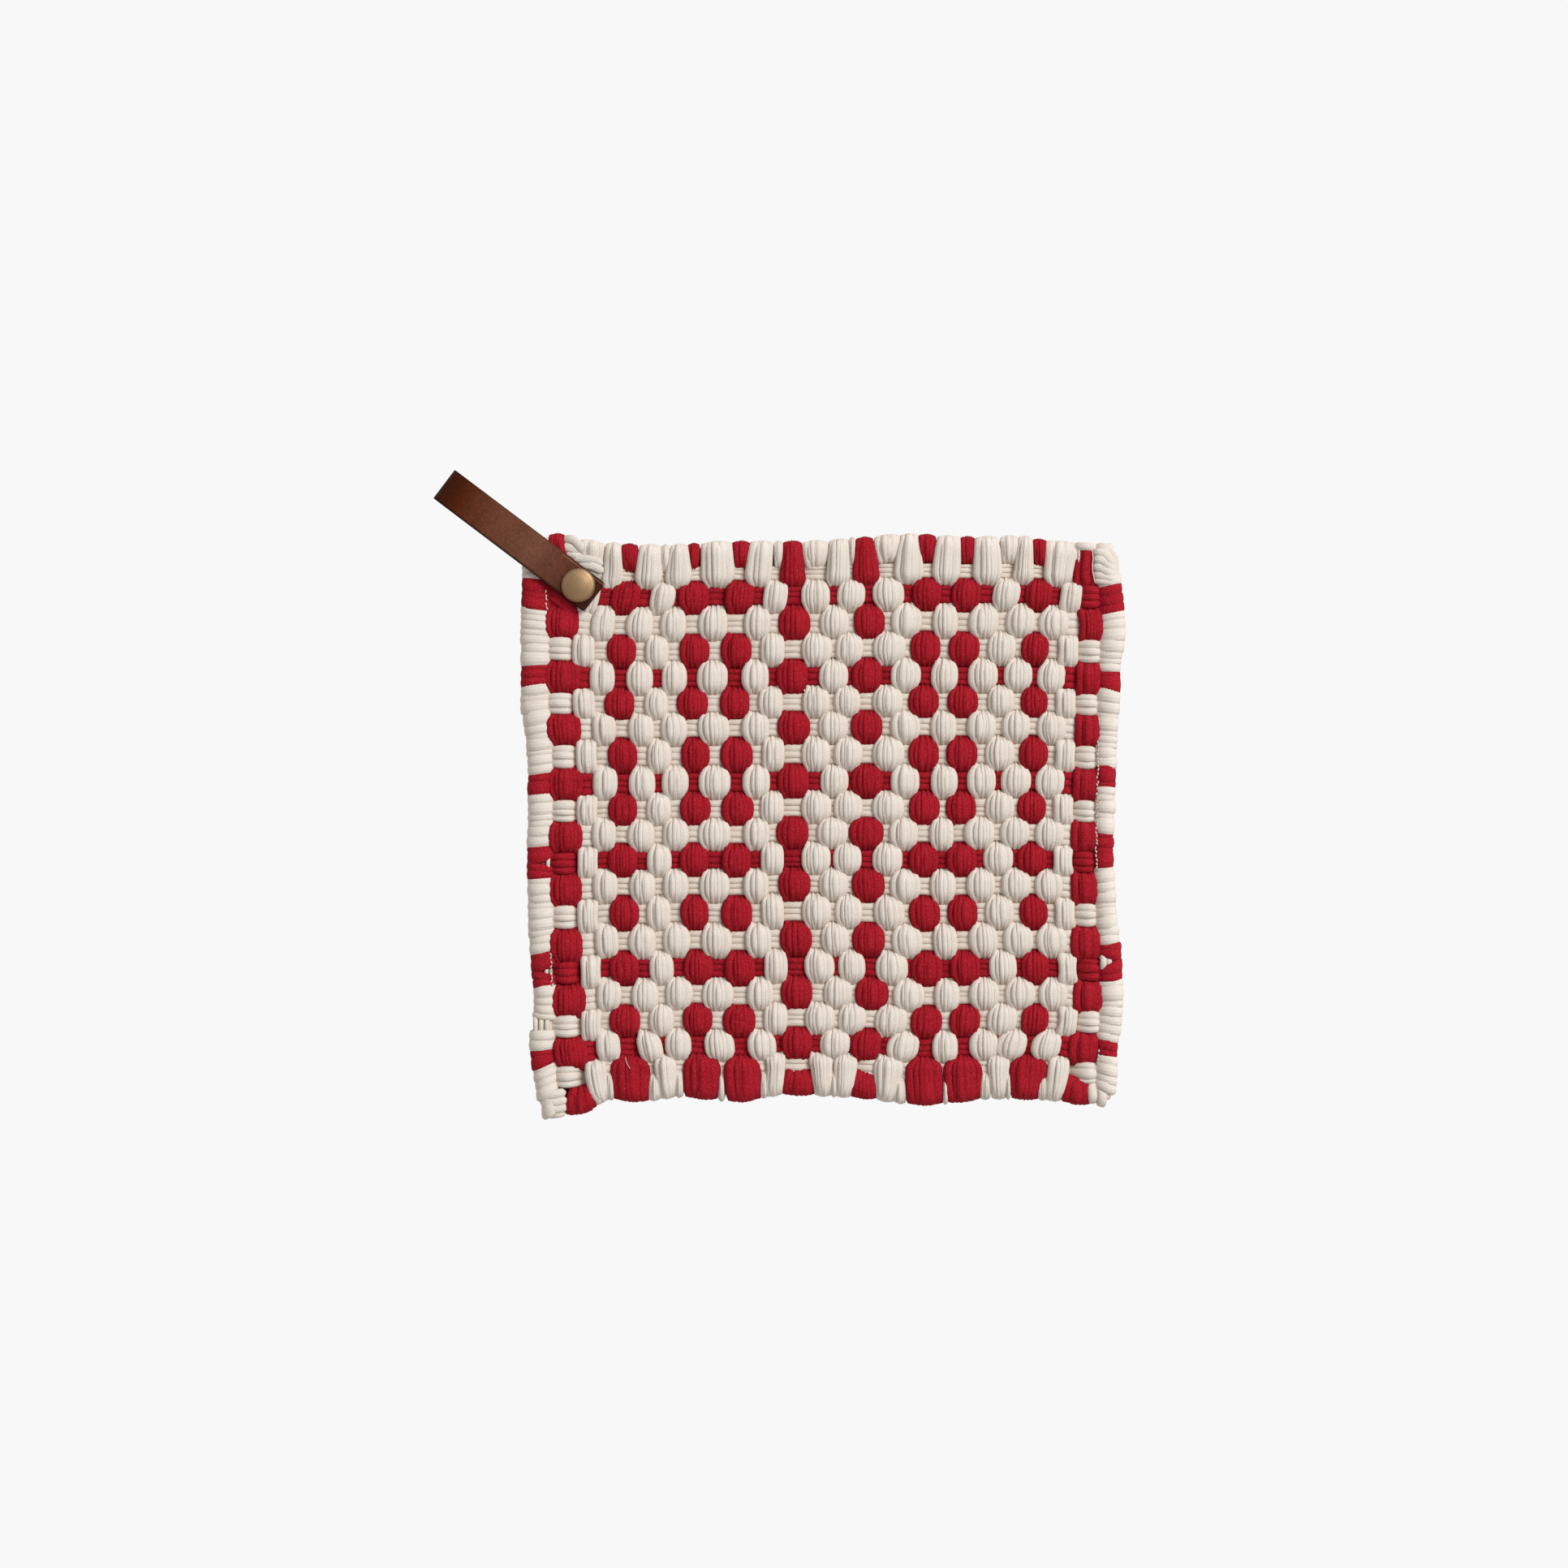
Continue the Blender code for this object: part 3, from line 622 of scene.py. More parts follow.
def make_knitted_cotton():
    """A soft knitted cotton strand's face: fine wales along it, a brushed nap, uneven dye and painted shade.
    """
    group = bpy.data.node_groups.new("knitted_cotton", "ShaderNodeTree")
    for label in ("Yarn", "Worn", "Fluff", "Shaded"):
        group.interface.new_socket(label, in_out="INPUT", socket_type="NodeSocketColor")
    group.interface.new_socket("Color", in_out="OUTPUT", socket_type="NodeSocketColor")
    group.interface.new_socket("Normal", in_out="OUTPUT", socket_type="NodeSocketVector")
    given = group.nodes.new("NodeGroupInput").outputs
    result = group.nodes.new("NodeGroupOutput").inputs
    patches = texture(group, "Noise", "Fac", Scale=110.0, Detail=2.0)
    nap = texture(group, "Noise", "Fac", Scale=1900.0, Detail=3.0)
    around, along = uv_place(group)
    wales = maths(group, "SINE", maths(group, "MULTIPLY", around, math.tau * 14))
    courses = maths(group, "SINE", maths(group, "MULTIPLY", along, math.tau / 0.6))
    knit = maths(group, "ADD", maths(group, "MULTIPLY", wales, 0.6), maths(group, "MULTIPLY", courses, 0.25))
    height = maths(group, "ADD", maths(group, "MULTIPLY", knit, 0.3), nap)
    worn = maths(group, "ADD", gained(group, patches, 0.35, 1.6), gained(group, nap, 0.5, -3.5))
    dyed = blended(group, worn, given["Yarn"], given["Worn"])
    lit = blended(group, gained(group, nap, 0.52, 3.0), dyed, given["Fluff"])
    shade = shader_node(group, "ShaderNodeAttribute", attribute_name="shade").outputs["Fac"]
    bump = shader_node(group, "ShaderNodeBump", {"Strength": 0.55, "Distance": 0.00022, "Height": height})
    # Painted shade: the colour goes towards the shaded one as far as the shade attribute says.
    feed(group, result["Color"], blended(group, shade, lit, given["Shaded"]))
    feed(group, result["Normal"], bump.outputs["Normal"])
    return group


KNITTED_COTTON = make_knitted_cotton()


def cotton(name, **colours):
    """A matt cotton strand: its yarn, its worn patches, its loose fibres and the colour of its painted shade.
    """
    material, tree, shader = new_material(name)
    inputs = {label.capitalize(): (*colour, 1) for label, colour in colours.items()}
    face = shader_node(tree, "ShaderNodeGroup", inputs, node_tree=KNITTED_COTTON).outputs
    feed(tree, shader.inputs["Base Color"], face["Color"])
    feed(tree, shader.inputs["Normal"], face["Normal"])
    shader.inputs["Roughness"].default_value = 0.95
    shader.inputs["Specular IOR Level"].default_value = 0.12
    return material


YARNS = {
    "cream": cotton(
        "cream_cotton",
        yarn=(0.745, 0.695, 0.64),
        worn=(0.71, 0.635, 0.56),
        fluff=(0.83, 0.82, 0.80),
        shaded=(0.60, 0.43, 0.29),
    ),
    "red": cotton(
        "red_cotton",
        yarn=(0.39, 0.010, 0.022),
        worn=(0.29, 0.006, 0.014),
        fluff=(0.50, 0.042, 0.065),
        shaded=(0.085, 0.002, 0.003),
    ),
}

warp_surfaces = [warp_strands(index, np.random.default_rng(100 + index)) for index in range(len(WARPS))]
mat_pieces = []
for yarn, material in YARNS.items():
    for side, columns in (("left", range(0, 10)), ("middle", range(10, 20)), ("right", range(20, 29))):
        members = [warp_surfaces[i] for i in columns if WARPS[i].yarn == yarn]
        mat_pieces.append(new_piece(f"{yarn}_warps_{side}", joined(members), material))

# ======================================================================= the wefts
# Twenty bundles of three flatter strands cross the warps, nearly straight, and show in the small windows
# between the knots. Beside each selvedge they bulge over the outermost warp like a lying knot.

WEFT_STRANDS = 3
WEFT_DRAWN = 0.9  # how narrow a weft lies in the windows, as a share of its full width
WEFT_SPREAD = 1.0  # how wide it lies between two warps, where the knots hide it
WEFT_LIFT = 0.9  # the middle of a weft at a warp, above or below the middle of the cloth
BESIDE_LIFT = 1.6  # the same at the warp beside the outermost one
OUTERMOST_LIFT = 2.75  # and at the outermost one
OUTERMOST_WIDE = 1.12  # a weft's width at those two warps, as a share of its full width
OUTERMOST_CROWN = 1.0  # how much lower its edges lie than its middle at the outermost warp
WEFT_ASIDE = 0.25  # how far a weft wanders beside its line
WEFT_SIZES = (0.8, 1.2)  # these mean for its strands what the same names mean for a warp's
WEFT_OVERLAP = (1.15, 1.4)
WEFT_UNEVEN = 0.15
WEFT_HALF_THICK = 1.2
WEFT_THICK_DRIFT = 0.05
WEFT_WANDER_WARPS = 2  # how many warps apart the random values of a weft's wandering lie
STEPS_PER_WARP = 5
WEFT_ENDS = 8
WEFT_END_INSIDE = 4.5  # how far inside the outline a weft ends, in the middle of the selvedge
# From the outermost warp to that end: (share of the way, height and width as shares).
WEFT_END = np.transpose(
    ((0.0, 1.0, 1.0), (0.25, 0.88, 0.97), (0.42, 0.45, 0.9), (0.6, 0.1, 1.0), (1.0, 0.0, 1.1))
)


def weft_strands(row, rng):
    """The strands of one weft bundle.

    Its height is its lift times the cosine of half a turn per warp. The lift and the width in the windows
    grow in smooth steps at the last two warps before each selvedge.
    """
    weft = WEFTS[row]
    columns = np.arange(len(WARPS))
    places = mat_place(np.array([warp.at for warp in WARPS]), np.full(len(columns), weft.at))
    at = np.linspace(0, len(WARPS) - 1, STEPS_PER_WARP * (len(WARPS) - 1) + 1)
    x, y = (curve_through(columns, values, at) for values in places)
    from_side = np.minimum(at, at[-1] - at)
    outermost, beside = smooth_step(1 - from_side), smooth_step(2 - from_side)
    lift = WEFT_LIFT + (BESIDE_LIFT - WEFT_LIFT) * beside + (OUTERMOST_LIFT - BESIDE_LIFT) * outermost
    height = -lift * np.cos(math.pi * (at + row))
    wide = weft.wide * (WEFT_DRAWN + (OUTERMOST_WIDE - WEFT_DRAWN) * beside)
    between = np.sin(math.pi * at) ** 2 * (1 - beside)
    wide += (weft.wide * WEFT_SPREAD - wide) * between
    line = np.stack([x, y, height, wide, at])
    out = np.linspace(0, 1, WEFT_ENDS + 1)[1:]
    share, *end = WEFT_END
    end_height, end_wide = (curve_through(share, values, out) for values in end)
    same = np.ones(WEFT_ENDS)
    ends = []
    for outline, last, way in ((LEFT_SIDE, 0, 1), (RIGHT_SIDE, -1, -1)):
        turn = line[:, [last]] * np.stack([same, same, end_height, end_wide, same])
        turn[0] += (curve_through(*outline, y[last]) + way * WEFT_END_INSIDE - x[last]) * out
        ends.append(turn)
    x, y, height, wide, at = np.concatenate([ends[0][:, ::-1], line, ends[1]], axis=1)

    slow = at / WEFT_WANDER_WARPS
    part = rng.uniform(*WEFT_SIZES, WEFT_STRANDS)[:, None]
    part = part * (1 + wander(rng, WEFT_STRANDS, slow, STRAND_DRIFT))
    part /= part.sum(axis=0)
    share = 2 * (np.cumsum(part, axis=0) - part / 2) - 1
    offset = share * wide / 2 + wander(rng, 1, slow, WEFT_ASIDE)
    raised = smooth_step((np.abs(height) - WEFT_LIFT) / (OUTERMOST_LIFT - WEFT_LIFT))
    level = height - OUTERMOST_CROWN * share**2 * np.sign(height) * raised
    level = level + wander(rng, WEFT_STRANDS, slow, WEFT_UNEVEN)
    middle = np.stack([np.broadcast_to(x, offset.shape), y + offset, level], axis=2)
    half_wide = part * wide / 2 * rng.uniform(*WEFT_OVERLAP, WEFT_STRANDS)[:, None]
    half_thick = WEFT_HALF_THICK * (1 + wander(rng, WEFT_STRANDS, at, WEFT_THICK_DRIFT))
    return on_the_cloth(strand_surface(middle, (0.0, 1.0, 0.0), half_wide, half_thick))


weft_surfaces = [weft_strands(row, np.random.default_rng(300 + row)) for row in range(len(WEFTS))]
for yarn in ("cream", "red"):
    members = [surface for surface, weft in zip(weft_surfaces, WEFTS) if weft.yarn == yarn]
    mat_pieces.append(new_piece(f"{yarn}_wefts", joined(members), YARNS[yarn]))

# ======================================================================= the selvedges
# Down the left and right sides the wefts wrap round a soft core into a rounded edge, and a seam beside the
# outermost warp holds them. Each weft shows there as two or more turns in its own yarn, and here and there
# the turns part and the core shows.

# Where each band of turns begins, from the top: (yarn, its place at the outline, its place at the seam).
# In a "core" band the turns part, and the last one ends the selvedge.
LEFT_BANDS = (
    ("cream", 16.7, 16.2), ("red", 2.4, 1.6), ("cream", -7.4, -8.5), ("red", -27.2, -27.0),
    ("cream", -34.8, -33.7), ("red", -65.0, -64.2), ("cream", -72.0, -71.5), ("red", -90.0, -89.4),
    ("core", -95.6, -94.1), ("red", -95.6, -96.9), ("cream", -100.9, -100.6), ("red", -126.9, -125.8),
    ("core", -132.8, -131.2), ("red", -132.8, -134.2), ("cream", -138.4, -137.8), ("core", -149.0, -149.6),
    ("cream", -153.8, -153.5), ("red", -160.0, -159.7), ("cream", -166.7, -164.4), ("core", -183.2, -180.7),
)
RIGHT_BANDS = (
    ("cream", 13.9, 12.8), ("red", 0.5, -0.4), ("cream", -8.8, -9.9), ("red", -29.5, -29.5),
    ("cream", -36.2, -35.4), ("red", -62.5, -62.5), ("cream", -69.5, -69.5), ("red", -85.2, -84.9),
    ("cream", -96.4, -97.0), ("red", -123.3, -123.6), ("core", -128.9, -127.4), ("red", -129.2, -132.0),
    ("cream", -135.9, -136.4), ("red", -157.4, -156.6), ("cream", -163.0, -161.6), ("core", -177.0, -174.8),
)
LEFT_SEAM = 5.4  # from the outermost warp to the seam beside it
RIGHT_SEAM = 3.9
WRAP_PITCH = 3.0  # about how far apart the turns lie
WRAP_SIZES = (0.6, 1.5)  # the turns' shares of a band, before they are made to fill it
WRAP_OVERLAP = (1.35, 1.7)  # how far each turn is wider than its own share
WRAP_LEAST = 0.6  # the least half width of a turn
WRAP_DRAWN = 0.9  # the width of its ends, as a share of its middle's
WRAP_HALF_THICK = 1.2
WRAP_ASIDE = 0.3  # how far a turn stands in or out at random
WIDE_STANDS_OUT = 0.25  # how far it stands out for each millimetre that it is wider than the mean
WIDE_STANDS_HIGH = 0.12  # the same for its height, as a share
WRAP_STEPS = 25
CORNER_ROUND = 3.2
CORNER_SET_IN = 2.2  # how far the selvedge is drawn in at its two ends
CORNER_LEAST = 0.9  # how near to the end of its quarter circle it comes
CORE_INSIDE = 0.4  # how far the core ends inside the last turns
CORE_WIDE = 0.14  # the half width of one of its strands, as a share of the selvedge
CORE_STEPS = 160
CORE_STRANDS = ((0.3, 2.08), (0.5, 2.6), (0.7, 2.47), (0.92, 1.82))  # (share of the way in, half thickness)
SELVEDGE_WIDE = 9  # about how wide it is, for even steps along a turn
# One turn from under the seam over the front to the outline: (share of the way in to the seam, height).
WRAP_TURN = np.transpose(
    ((1.34, -0.6), (1.16, 0.6), (1.0, 1.7), (0.84, 2.65), (0.56, 3.05), (0.32, 2.6), (0.18, 1.5), (0.13, 0.0))
)
SIDES = {
    "left": (LEFT_SIDE, LEFT_BANDS, 0, -LEFT_SEAM),
    "right": (RIGHT_SIDE, RIGHT_BANDS, -1, RIGHT_SEAM),
}


def seam_x(side, y):
    """The place of a selvedge's seam at height y up the mat: a fixed way outside the outermost warp."""
    _, _, outermost, beside = SIDES[side]
    return mat_place(np.full(np.shape(y), WARPS[outermost].at), y)[0] + beside


def wrap_turns(side, band, after, rng):
    """One band's turns round a selvedge: WRAP_TURN over the front and, mirrored, under the back.

    Each turn gets its own part of the band at the outline and at the seam. Its height falls off round the
    selvedge's two ends as a quarter circle does.
    """
    outline, bands, _, _ = SIDES[side]
    count = max(2, round((band[1] - after[1]) / WRAP_PITCH))
    part = rng.uniform(*WRAP_SIZES, count)
    edges = np.append(0.0, np.cumsum(part / part.sum()))
    middle = (edges[1:] + edges[:-1]) / 2
    y_out, y_in = (band[end] + (after[end] - band[end]) * middle for end in (1, 2))
    half_out, half_in = ((band[end] - after[end]) * np.diff(edges) / 2 for end in (1, 2))

    inward, height = WRAP_TURN
    turn = (np.append(inward, inward[-2::-1]), np.append(height, -height[-2::-1]))
    gone = length_along(turn[0] * SELVEDGE_WIDE, turn[1])
    at = np.linspace(0, gone[-1], WRAP_STEPS)
    outermost = inward[-1]
    inward, height = (curve_through(gone, values, at) for values in turn)
    to_seam = (inward - outermost) / (1 - outermost)
    y = y_out[:, None] + (y_in - y_out)[:, None] * to_seam
    half_wide = half_out[:, None] + (half_in - half_out)[:, None] * to_seam

    edge_x = curve_through(*outline, y_out)
    way = 1.0 if side == "left" else -1.0
    to_end = np.minimum(y_out - bands[-1][1], bands[0][1] - y_out)
    full = np.sqrt(1 - np.clip(1 - to_end / CORNER_ROUND, 0, CORNER_LEAST) ** 2)
    wider = half_out - half_out.mean()
    set_in = WRAP_ASIDE * (1 - 2 * rng.random(count)) - WIDE_STANDS_OUT * wider + (1 - full) * CORNER_SET_IN
    wide = np.abs(seam_x(side, y_out) - edge_x)
    x = edge_x[:, None] + way * (wide[:, None] * inward + set_in[:, None] * (1 - inward))
    height = height * (full * (1 + WIDE_STANDS_HIGH * wider))[:, None]
    middle = np.stack([x, y, height], axis=2)
    half_wide = np.maximum(half_wide * rng.uniform(*WRAP_OVERLAP, count)[:, None], WRAP_LEAST)
    half_wide *= WRAP_DRAWN + (1 - WRAP_DRAWN) * np.sin(np.linspace(0, math.pi, WRAP_STEPS))
    return strand_surface(middle, (0.0, 1.0, 0.0), half_wide, np.full(x.shape, WRAP_HALF_THICK))


def selvedge_core(side):
    """The soft core that the turns lie round: four thick strands down the middle of the selvedge."""
    outline, bands, _, _ = SIDES[side]
    y = np.linspace(bands[0][1] - CORE_INSIDE, bands[-1][1] + CORE_INSIDE, CORE_STEPS)
    edge_x = curve_through(*outline, y)
    to_seam = seam_x(side, y) - edge_x
    share, half_thick = np.transpose(CORE_STRANDS)[:, :, None]
    x = edge_x + to_seam * share
    middle = np.stack(np.broadcast_arrays(x, y, 0.0), axis=2)
    half_wide = CORE_WIDE * np.abs(to_seam) + 0 * x
    return strand_surface(middle, (1.0, 0.0, 0.0), half_wide, half_thick + 0 * x)


wraps = {"cream": [], "red": []}
for number, side in enumerate(SIDES):
    rng = np.random.default_rng(500 + number)
    bands = SIDES[side][1]
    for band, after in zip(bands[:-1], bands[1:]):
        if band[0] in wraps:
            wraps[band[0]].append(on_the_cloth(wrap_turns(side, band, after, rng)))
    wraps["cream"].append(on_the_cloth(selvedge_core(side)))
for yarn, surfaces in wraps.items():
    mat_pieces.append(new_piece(f"{yarn}_selvedge", joined(surfaces), YARNS[yarn]))

# ======================================================================= the loose strands
# At the corners single strands are drawn over the others, where the first weft's ends cross the top hem and
# where the corners are closed, and at a few places the turns of a selvedge part over its core. Each strand is
# given by its half width and the places that it passes.

LOOSE_STEPS = 16
LOOSE_HALF_THICK = 1.05
CREAM_LOOSE_STRANDS = (
    # the crossing strands at the corner under the loop
    (1.6, (-5.0, 16.0, 1.6), (-2.6, 15.9, 3.2), (-0.2, 14.2, 3.6), (1.2, 12.0, 2.8)),
    (1.7, (-5.2, 13.4, 2.4), (-2.6, 12.9, 3.1), (0.4, 11.6, 2.4)),
    (1.5, (-4.4, 11.4, 2.2), (-2.0, 10.8, 2.9), (0.6, 9.8, 2.2)),
    (1.5, (-2.2, 9.5, 2.2), (3.4, 9.1, 3.6), (8.2, 7.5, 2.6)),
    (1.5, (0.0, 7.5, 2.2), (4.6, 6.8, 3.6), (8.4, 5.0, 2.6)),
    (1.9, (-4.0, 9.4, 0.6), (1.0, 7.0, 1.2), (6.0, 4.4, 1.2), (9.4, 2.8, 0.6)),
    # the first weft's end over the corner of the far selvedge
    (1.8, (177.9, 12.7, 1.5), (180.9, 13.0, 2.8), (183.3, 11.0, 2.7), (184.3, 7.4, 2.2), (184.8, 3.2, 0.6)),
    (1.8, (177.4, 11.2, 2.6), (180.0, 11.2, 3.6), (182.4, 9.1, 3.6), (184.2, 5.6, 2.7), (185.3, 2.2, 0.4)),
    (1.7, (177.4, 9.0, 2.8), (179.6, 8.9, 3.7), (182.2, 7.0, 3.6), (184.7, 4.0, 2.3), (185.7, 2.0, 0.2)),
    (1.7, (177.2, 6.6, 2.6), (179.4, 6.3, 3.6), (182.4, 4.7, 3.5), (185.1, 2.5, 2.0), (186.0, 1.0, 0.0)),
    (1.6, (177.4, 4.2, 2.6), (180.2, 3.5, 3.4), (183.4, 2.4, 3.3), (186.0, 0.7, 1.0)),
    (1.3, (177.6, 1.9, 2.4), (180.6, 1.5, 3.3), (183.8, 1.0, 3.1), (186.2, 0.0, 1.0)),
    # the strand over the last warp's end at that corner
    (1.5, (171.6, 13.6, 2.2), (174.6, 13.4, 3.6), (178.2, 13.2, 2.4)),
    # the strands that close the far and the near corner at the bottom
    (1.7, (176.4, -170.4, 0.4), (177.0, -173.4, 2.3), (177.2, -176.0, 2.9), (177.5, -178.4, 0.4)),
    (1.7, (180.4, -173.2, 2.2), (180.5, -176.4, 2.9), (180.3, -178.2, 2.2), (180.0, -179.2, 0.0)),
    (1.6, (-13.2, -176.4, 2.4), (-9.0, -175.4, 3.3), (-4.6, -174.6, 2.2)),
    (1.6, (-12.6, -178.9, 2.2), (-8.4, -178.0, 3.2), (-4.2, -177.2, 2.2)),
    (1.6, (-11.6, -181.2, 1.8), (-8.0, -180.4, 2.9), (-4.2, -179.6, 2.0)),
    (1.3, (-10.6, -182.6, 0.8), (-7.6, -182.3, 1.9), (-4.8, -181.6, 0.8)),
    # the core where the turns part, at three places on the near selvedge and one on the far one
    (0.9, (-14.8, -148.4, 2.0), (-14.8, -151.4, 2.9), (-14.8, -154.6, 2.0)),
    (0.9, (-12.8, -148.6, 2.2), (-12.9, -151.4, 3.1), (-13.0, -154.6, 2.0)),
    (0.9, (-10.8, -148.6, 2.0), (-10.9, -151.4, 2.8), (-11.0, -154.6, 2.0)),
    (0.7, (-10.4, -93.6, 2.2), (-10.5, -95.5, 2.8), (-10.6, -97.4, 2.2)),
    (0.7, (-11.0, -130.8, 2.2), (-11.1, -132.8, 2.8), (-11.2, -134.8, 2.2)),
    (1.2, (181.0, -127.0, 2.0), (180.9, -129.7, 3.2), (180.8, -132.4, 2.0)),
    (1.1, (182.9, -127.6, 2.0), (182.8, -129.5, 3.0), (182.7, -131.4, 2.0)),
    # a loose thread on a knot of the bottom hem, and one of the seam at the far top corner
    (0.12, (16.2, -162.4, 4.0), (16.7, -164.4, 4.3), (17.8, -166.2, 4.35), (18.4, -167.6, 4.3)),
    (0.22, (176.8, 13.0, 3.2), (177.2, 9.6, 4.2), (177.0, 6.2, 4.1), (177.9, 1.0, 3.7)),
)
RED_LOOSE_STRANDS = (
    # the second weft beside the loop, drawn down by it
    (1.3, (-9.6, -1.4, 1.8), (-7.2, -3.0, 3.4), (-4.0, -5.8, 3.6), (-0.8, -8.6, 2.2)),
    (1.2, (-9.8, -4.0, 1.8), (-7.6, -5.2, 3.2), (-5.0, -7.4, 3.0), (-2.4, -9.6, 1.6)),
)


def loose_strand(half_wide, *places):
    """One strand on a smooth curve through its places, lying flat on the cloth."""
    axes = np.transpose(places)
    gone = length_along(*axes)
    at = np.linspace(0, gone[-1], LOOSE_STEPS)
    middle = np.stack([curve_through(gone, axis, at) for axis in axes], axis=1)
    run = np.gradient(middle, axis=0)
    across = np.stack([-run[:, 1], run[:, 0], 0 * run[:, 0]], axis=1)
    size = np.ones((1, LOOSE_STEPS))
    half_thick = min(LOOSE_HALF_THICK, half_wide)
    return on_the_cloth(strand_surface(middle[None], across[None], half_wide * size, half_thick * size))


for yarn, strands in (("cream", CREAM_LOOSE_STRANDS), ("red", RED_LOOSE_STRANDS)):
    surface = joined([loose_strand(*strand) for strand in strands])
    mat_pieces.append(new_piece(f"{yarn}_loose_strands", surface, YARNS[yarn]))

# ======================================================================= the seam
# A line of short cotton stitches holds the turns of each selvedge. It is sunk in the cloth over most of its
# length, and shows on both faces in a few stretches.

# (how far beside the seam the stitches show, the stretches where they do, from the top)
SEAM_SHOWS = {
    "left": (0.1, ((-1.6, -7.6), (-126.6, -137.8))),
    "right": (-0.5, ((-53.5, -97.2), (-160.4, -164.6))),
}
STITCH_PITCH = 1.35
STITCH_LONG = 1.0
STITCH_RADIUS = 0.26
STITCH_HEIGHT = 3.5
STITCH_BOW = 1.1  # how much lower a stitch's ends are than its middle
STITCH_ASIDE = 0.25  # how far it lies beside the line at random, on along it, and leaning
STITCH_ALONG = 0.3
STITCH_LEAN = 0.35
STITCH_STEPS = 7


def seam_stitches(side, aside, stretch, face, rng):
    """Short bowed threads along a stretch of a seam, each a low arch out of the cloth."""
    y = np.arange(stretch[1], stretch[0], STITCH_PITCH)
    y = y + rng.uniform(-STITCH_ALONG, STITCH_ALONG, len(y))
    share = np.linspace(-1, 1, STITCH_STEPS)
    lean = rng.uniform(-STITCH_LEAN, STITCH_LEAN, (len(y), 1)) * share
    x = seam_x(side, y)[:, None] + aside + rng.uniform(-STITCH_ASIDE, STITCH_ASIDE, (len(y), 1)) + lean
    level = face * (STITCH_HEIGHT - STITCH_BOW * share**4) + 0 * x
    middle = np.stack([x, y[:, None] + STITCH_LONG / 2 * share, level], axis=2)
    size = np.full(x.shape, STITCH_RADIUS)
    return on_the_cloth(strand_surface(middle, (1.0, 0.0, 0.0), size, size, sides=6))


rng = np.random.default_rng(700)
stitches = [
    seam_stitches(side, aside, stretch, face, rng)
    for side, (aside, stretches) in SEAM_SHOWS.items()
    for stretch in stretches
    for face in (1, -1)
]
mat_pieces.append(new_piece("seam_stitches", joined(stitches), YARNS["cream"]))

for piece in mat_pieces:
    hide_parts("woven_mat")
    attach(piece, BODY)

# ======================================================================= the leather loop
# One brown leather strap, folded in half over the corner of the mat. Its cut edges are burnished dark, and
# the edge away from the light carries painted shade as well. The fold carries painted shade, the end under
# the rivet is burnished and carries a painted shadow of the rivet, the leather between them a lighter painted
# sheen, and a painted highlight line runs by the other edge near that end.

LOOP_STEPS = 90
FOLD_STEPS = 28
LOOP_EDGE = 0.32  # the radius of the strap's edges
LOOP_CORNER = 1.2  # and of the corners of its ends
CORNER_STEPS = (0.0, 0.06, 0.2, 0.4, 0.65, 1.0)
ARC_POINTS = 5
END_BEVEL = 0.3  # how far from an end the leather is thinned, and to what share
END_THIN = 0.7
# A painted highlight: a thin lighter line along the edge of the upper leg that faces the light, from its end.
HIGHLIGHT_LINE_AT = 5.35
HIGHLIGHT_LINE_WIDE = 0.3
HIGHLIGHT_LINE_LONG = 17.7
# The leather's brown with painted light and shade, from the middle of the fold to the ends: (share of the
# way, colour). The dark fold is painted shade, the lighter middle a painted sheen, and the dark ends partly
# burnish and partly a painted shadow of the rivet.
LEATHER_PAINTED_LIGHT_AND_SHADE = (
    (0.0, (0.048, 0.011, 0.0035)),
    (0.09, (0.058, 0.011, 0.003)),
    (0.15, (0.088, 0.019, 0.005)),
    (0.24, (0.122, 0.036, 0.017)),
    (0.36, (0.158, 0.054, 0.030)),
    (0.48, (0.161, 0.062, 0.034)),
    (0.6, (0.176, 0.071, 0.044)),
    (0.69, (0.148, 0.054, 0.032)),
    (0.78, (0.130, 0.043, 0.026)),
    (0.87, (0.068, 0.021, 0.012)),
    (1.0, (0.050, 0.015, 0.008)),
)
# The cut edges' dark bands: burnish on both, and on the edge away from the light painted shade as well.
BURNISHED_AND_SHADED_EDGES = ((1.0, 1.0, 0.85), (-1.0, 0.5, 0.6))  # (side, how wide, how far it is dark)


def loop_path():
    """The middle of the leather, from the end of the upper leg round the fold to the end of the lower."""
    leg = np.linspace(LOOP_NEAR_END, FOLD_AT, LOOP_STEPS)
    turn = np.linspace(math.pi / 2, -math.pi / 2, FOLD_STEPS + 1)[1:-1]
    radius = FOLD_RADIUS - LOOP_HALF
    fold = np.stack([FOLD_AT + radius * np.cos(turn), FOLD_RADIUS + radius * np.sin(turn)], axis=1)
    upper = np.stack([leg, curve_through(*UPPER_LEG, leg)], axis=1)
    lower = np.stack([leg, curve_through(*LOWER_LEG, leg)], axis=1)[::-1]
    return np.concatenate([upper, fold, lower])


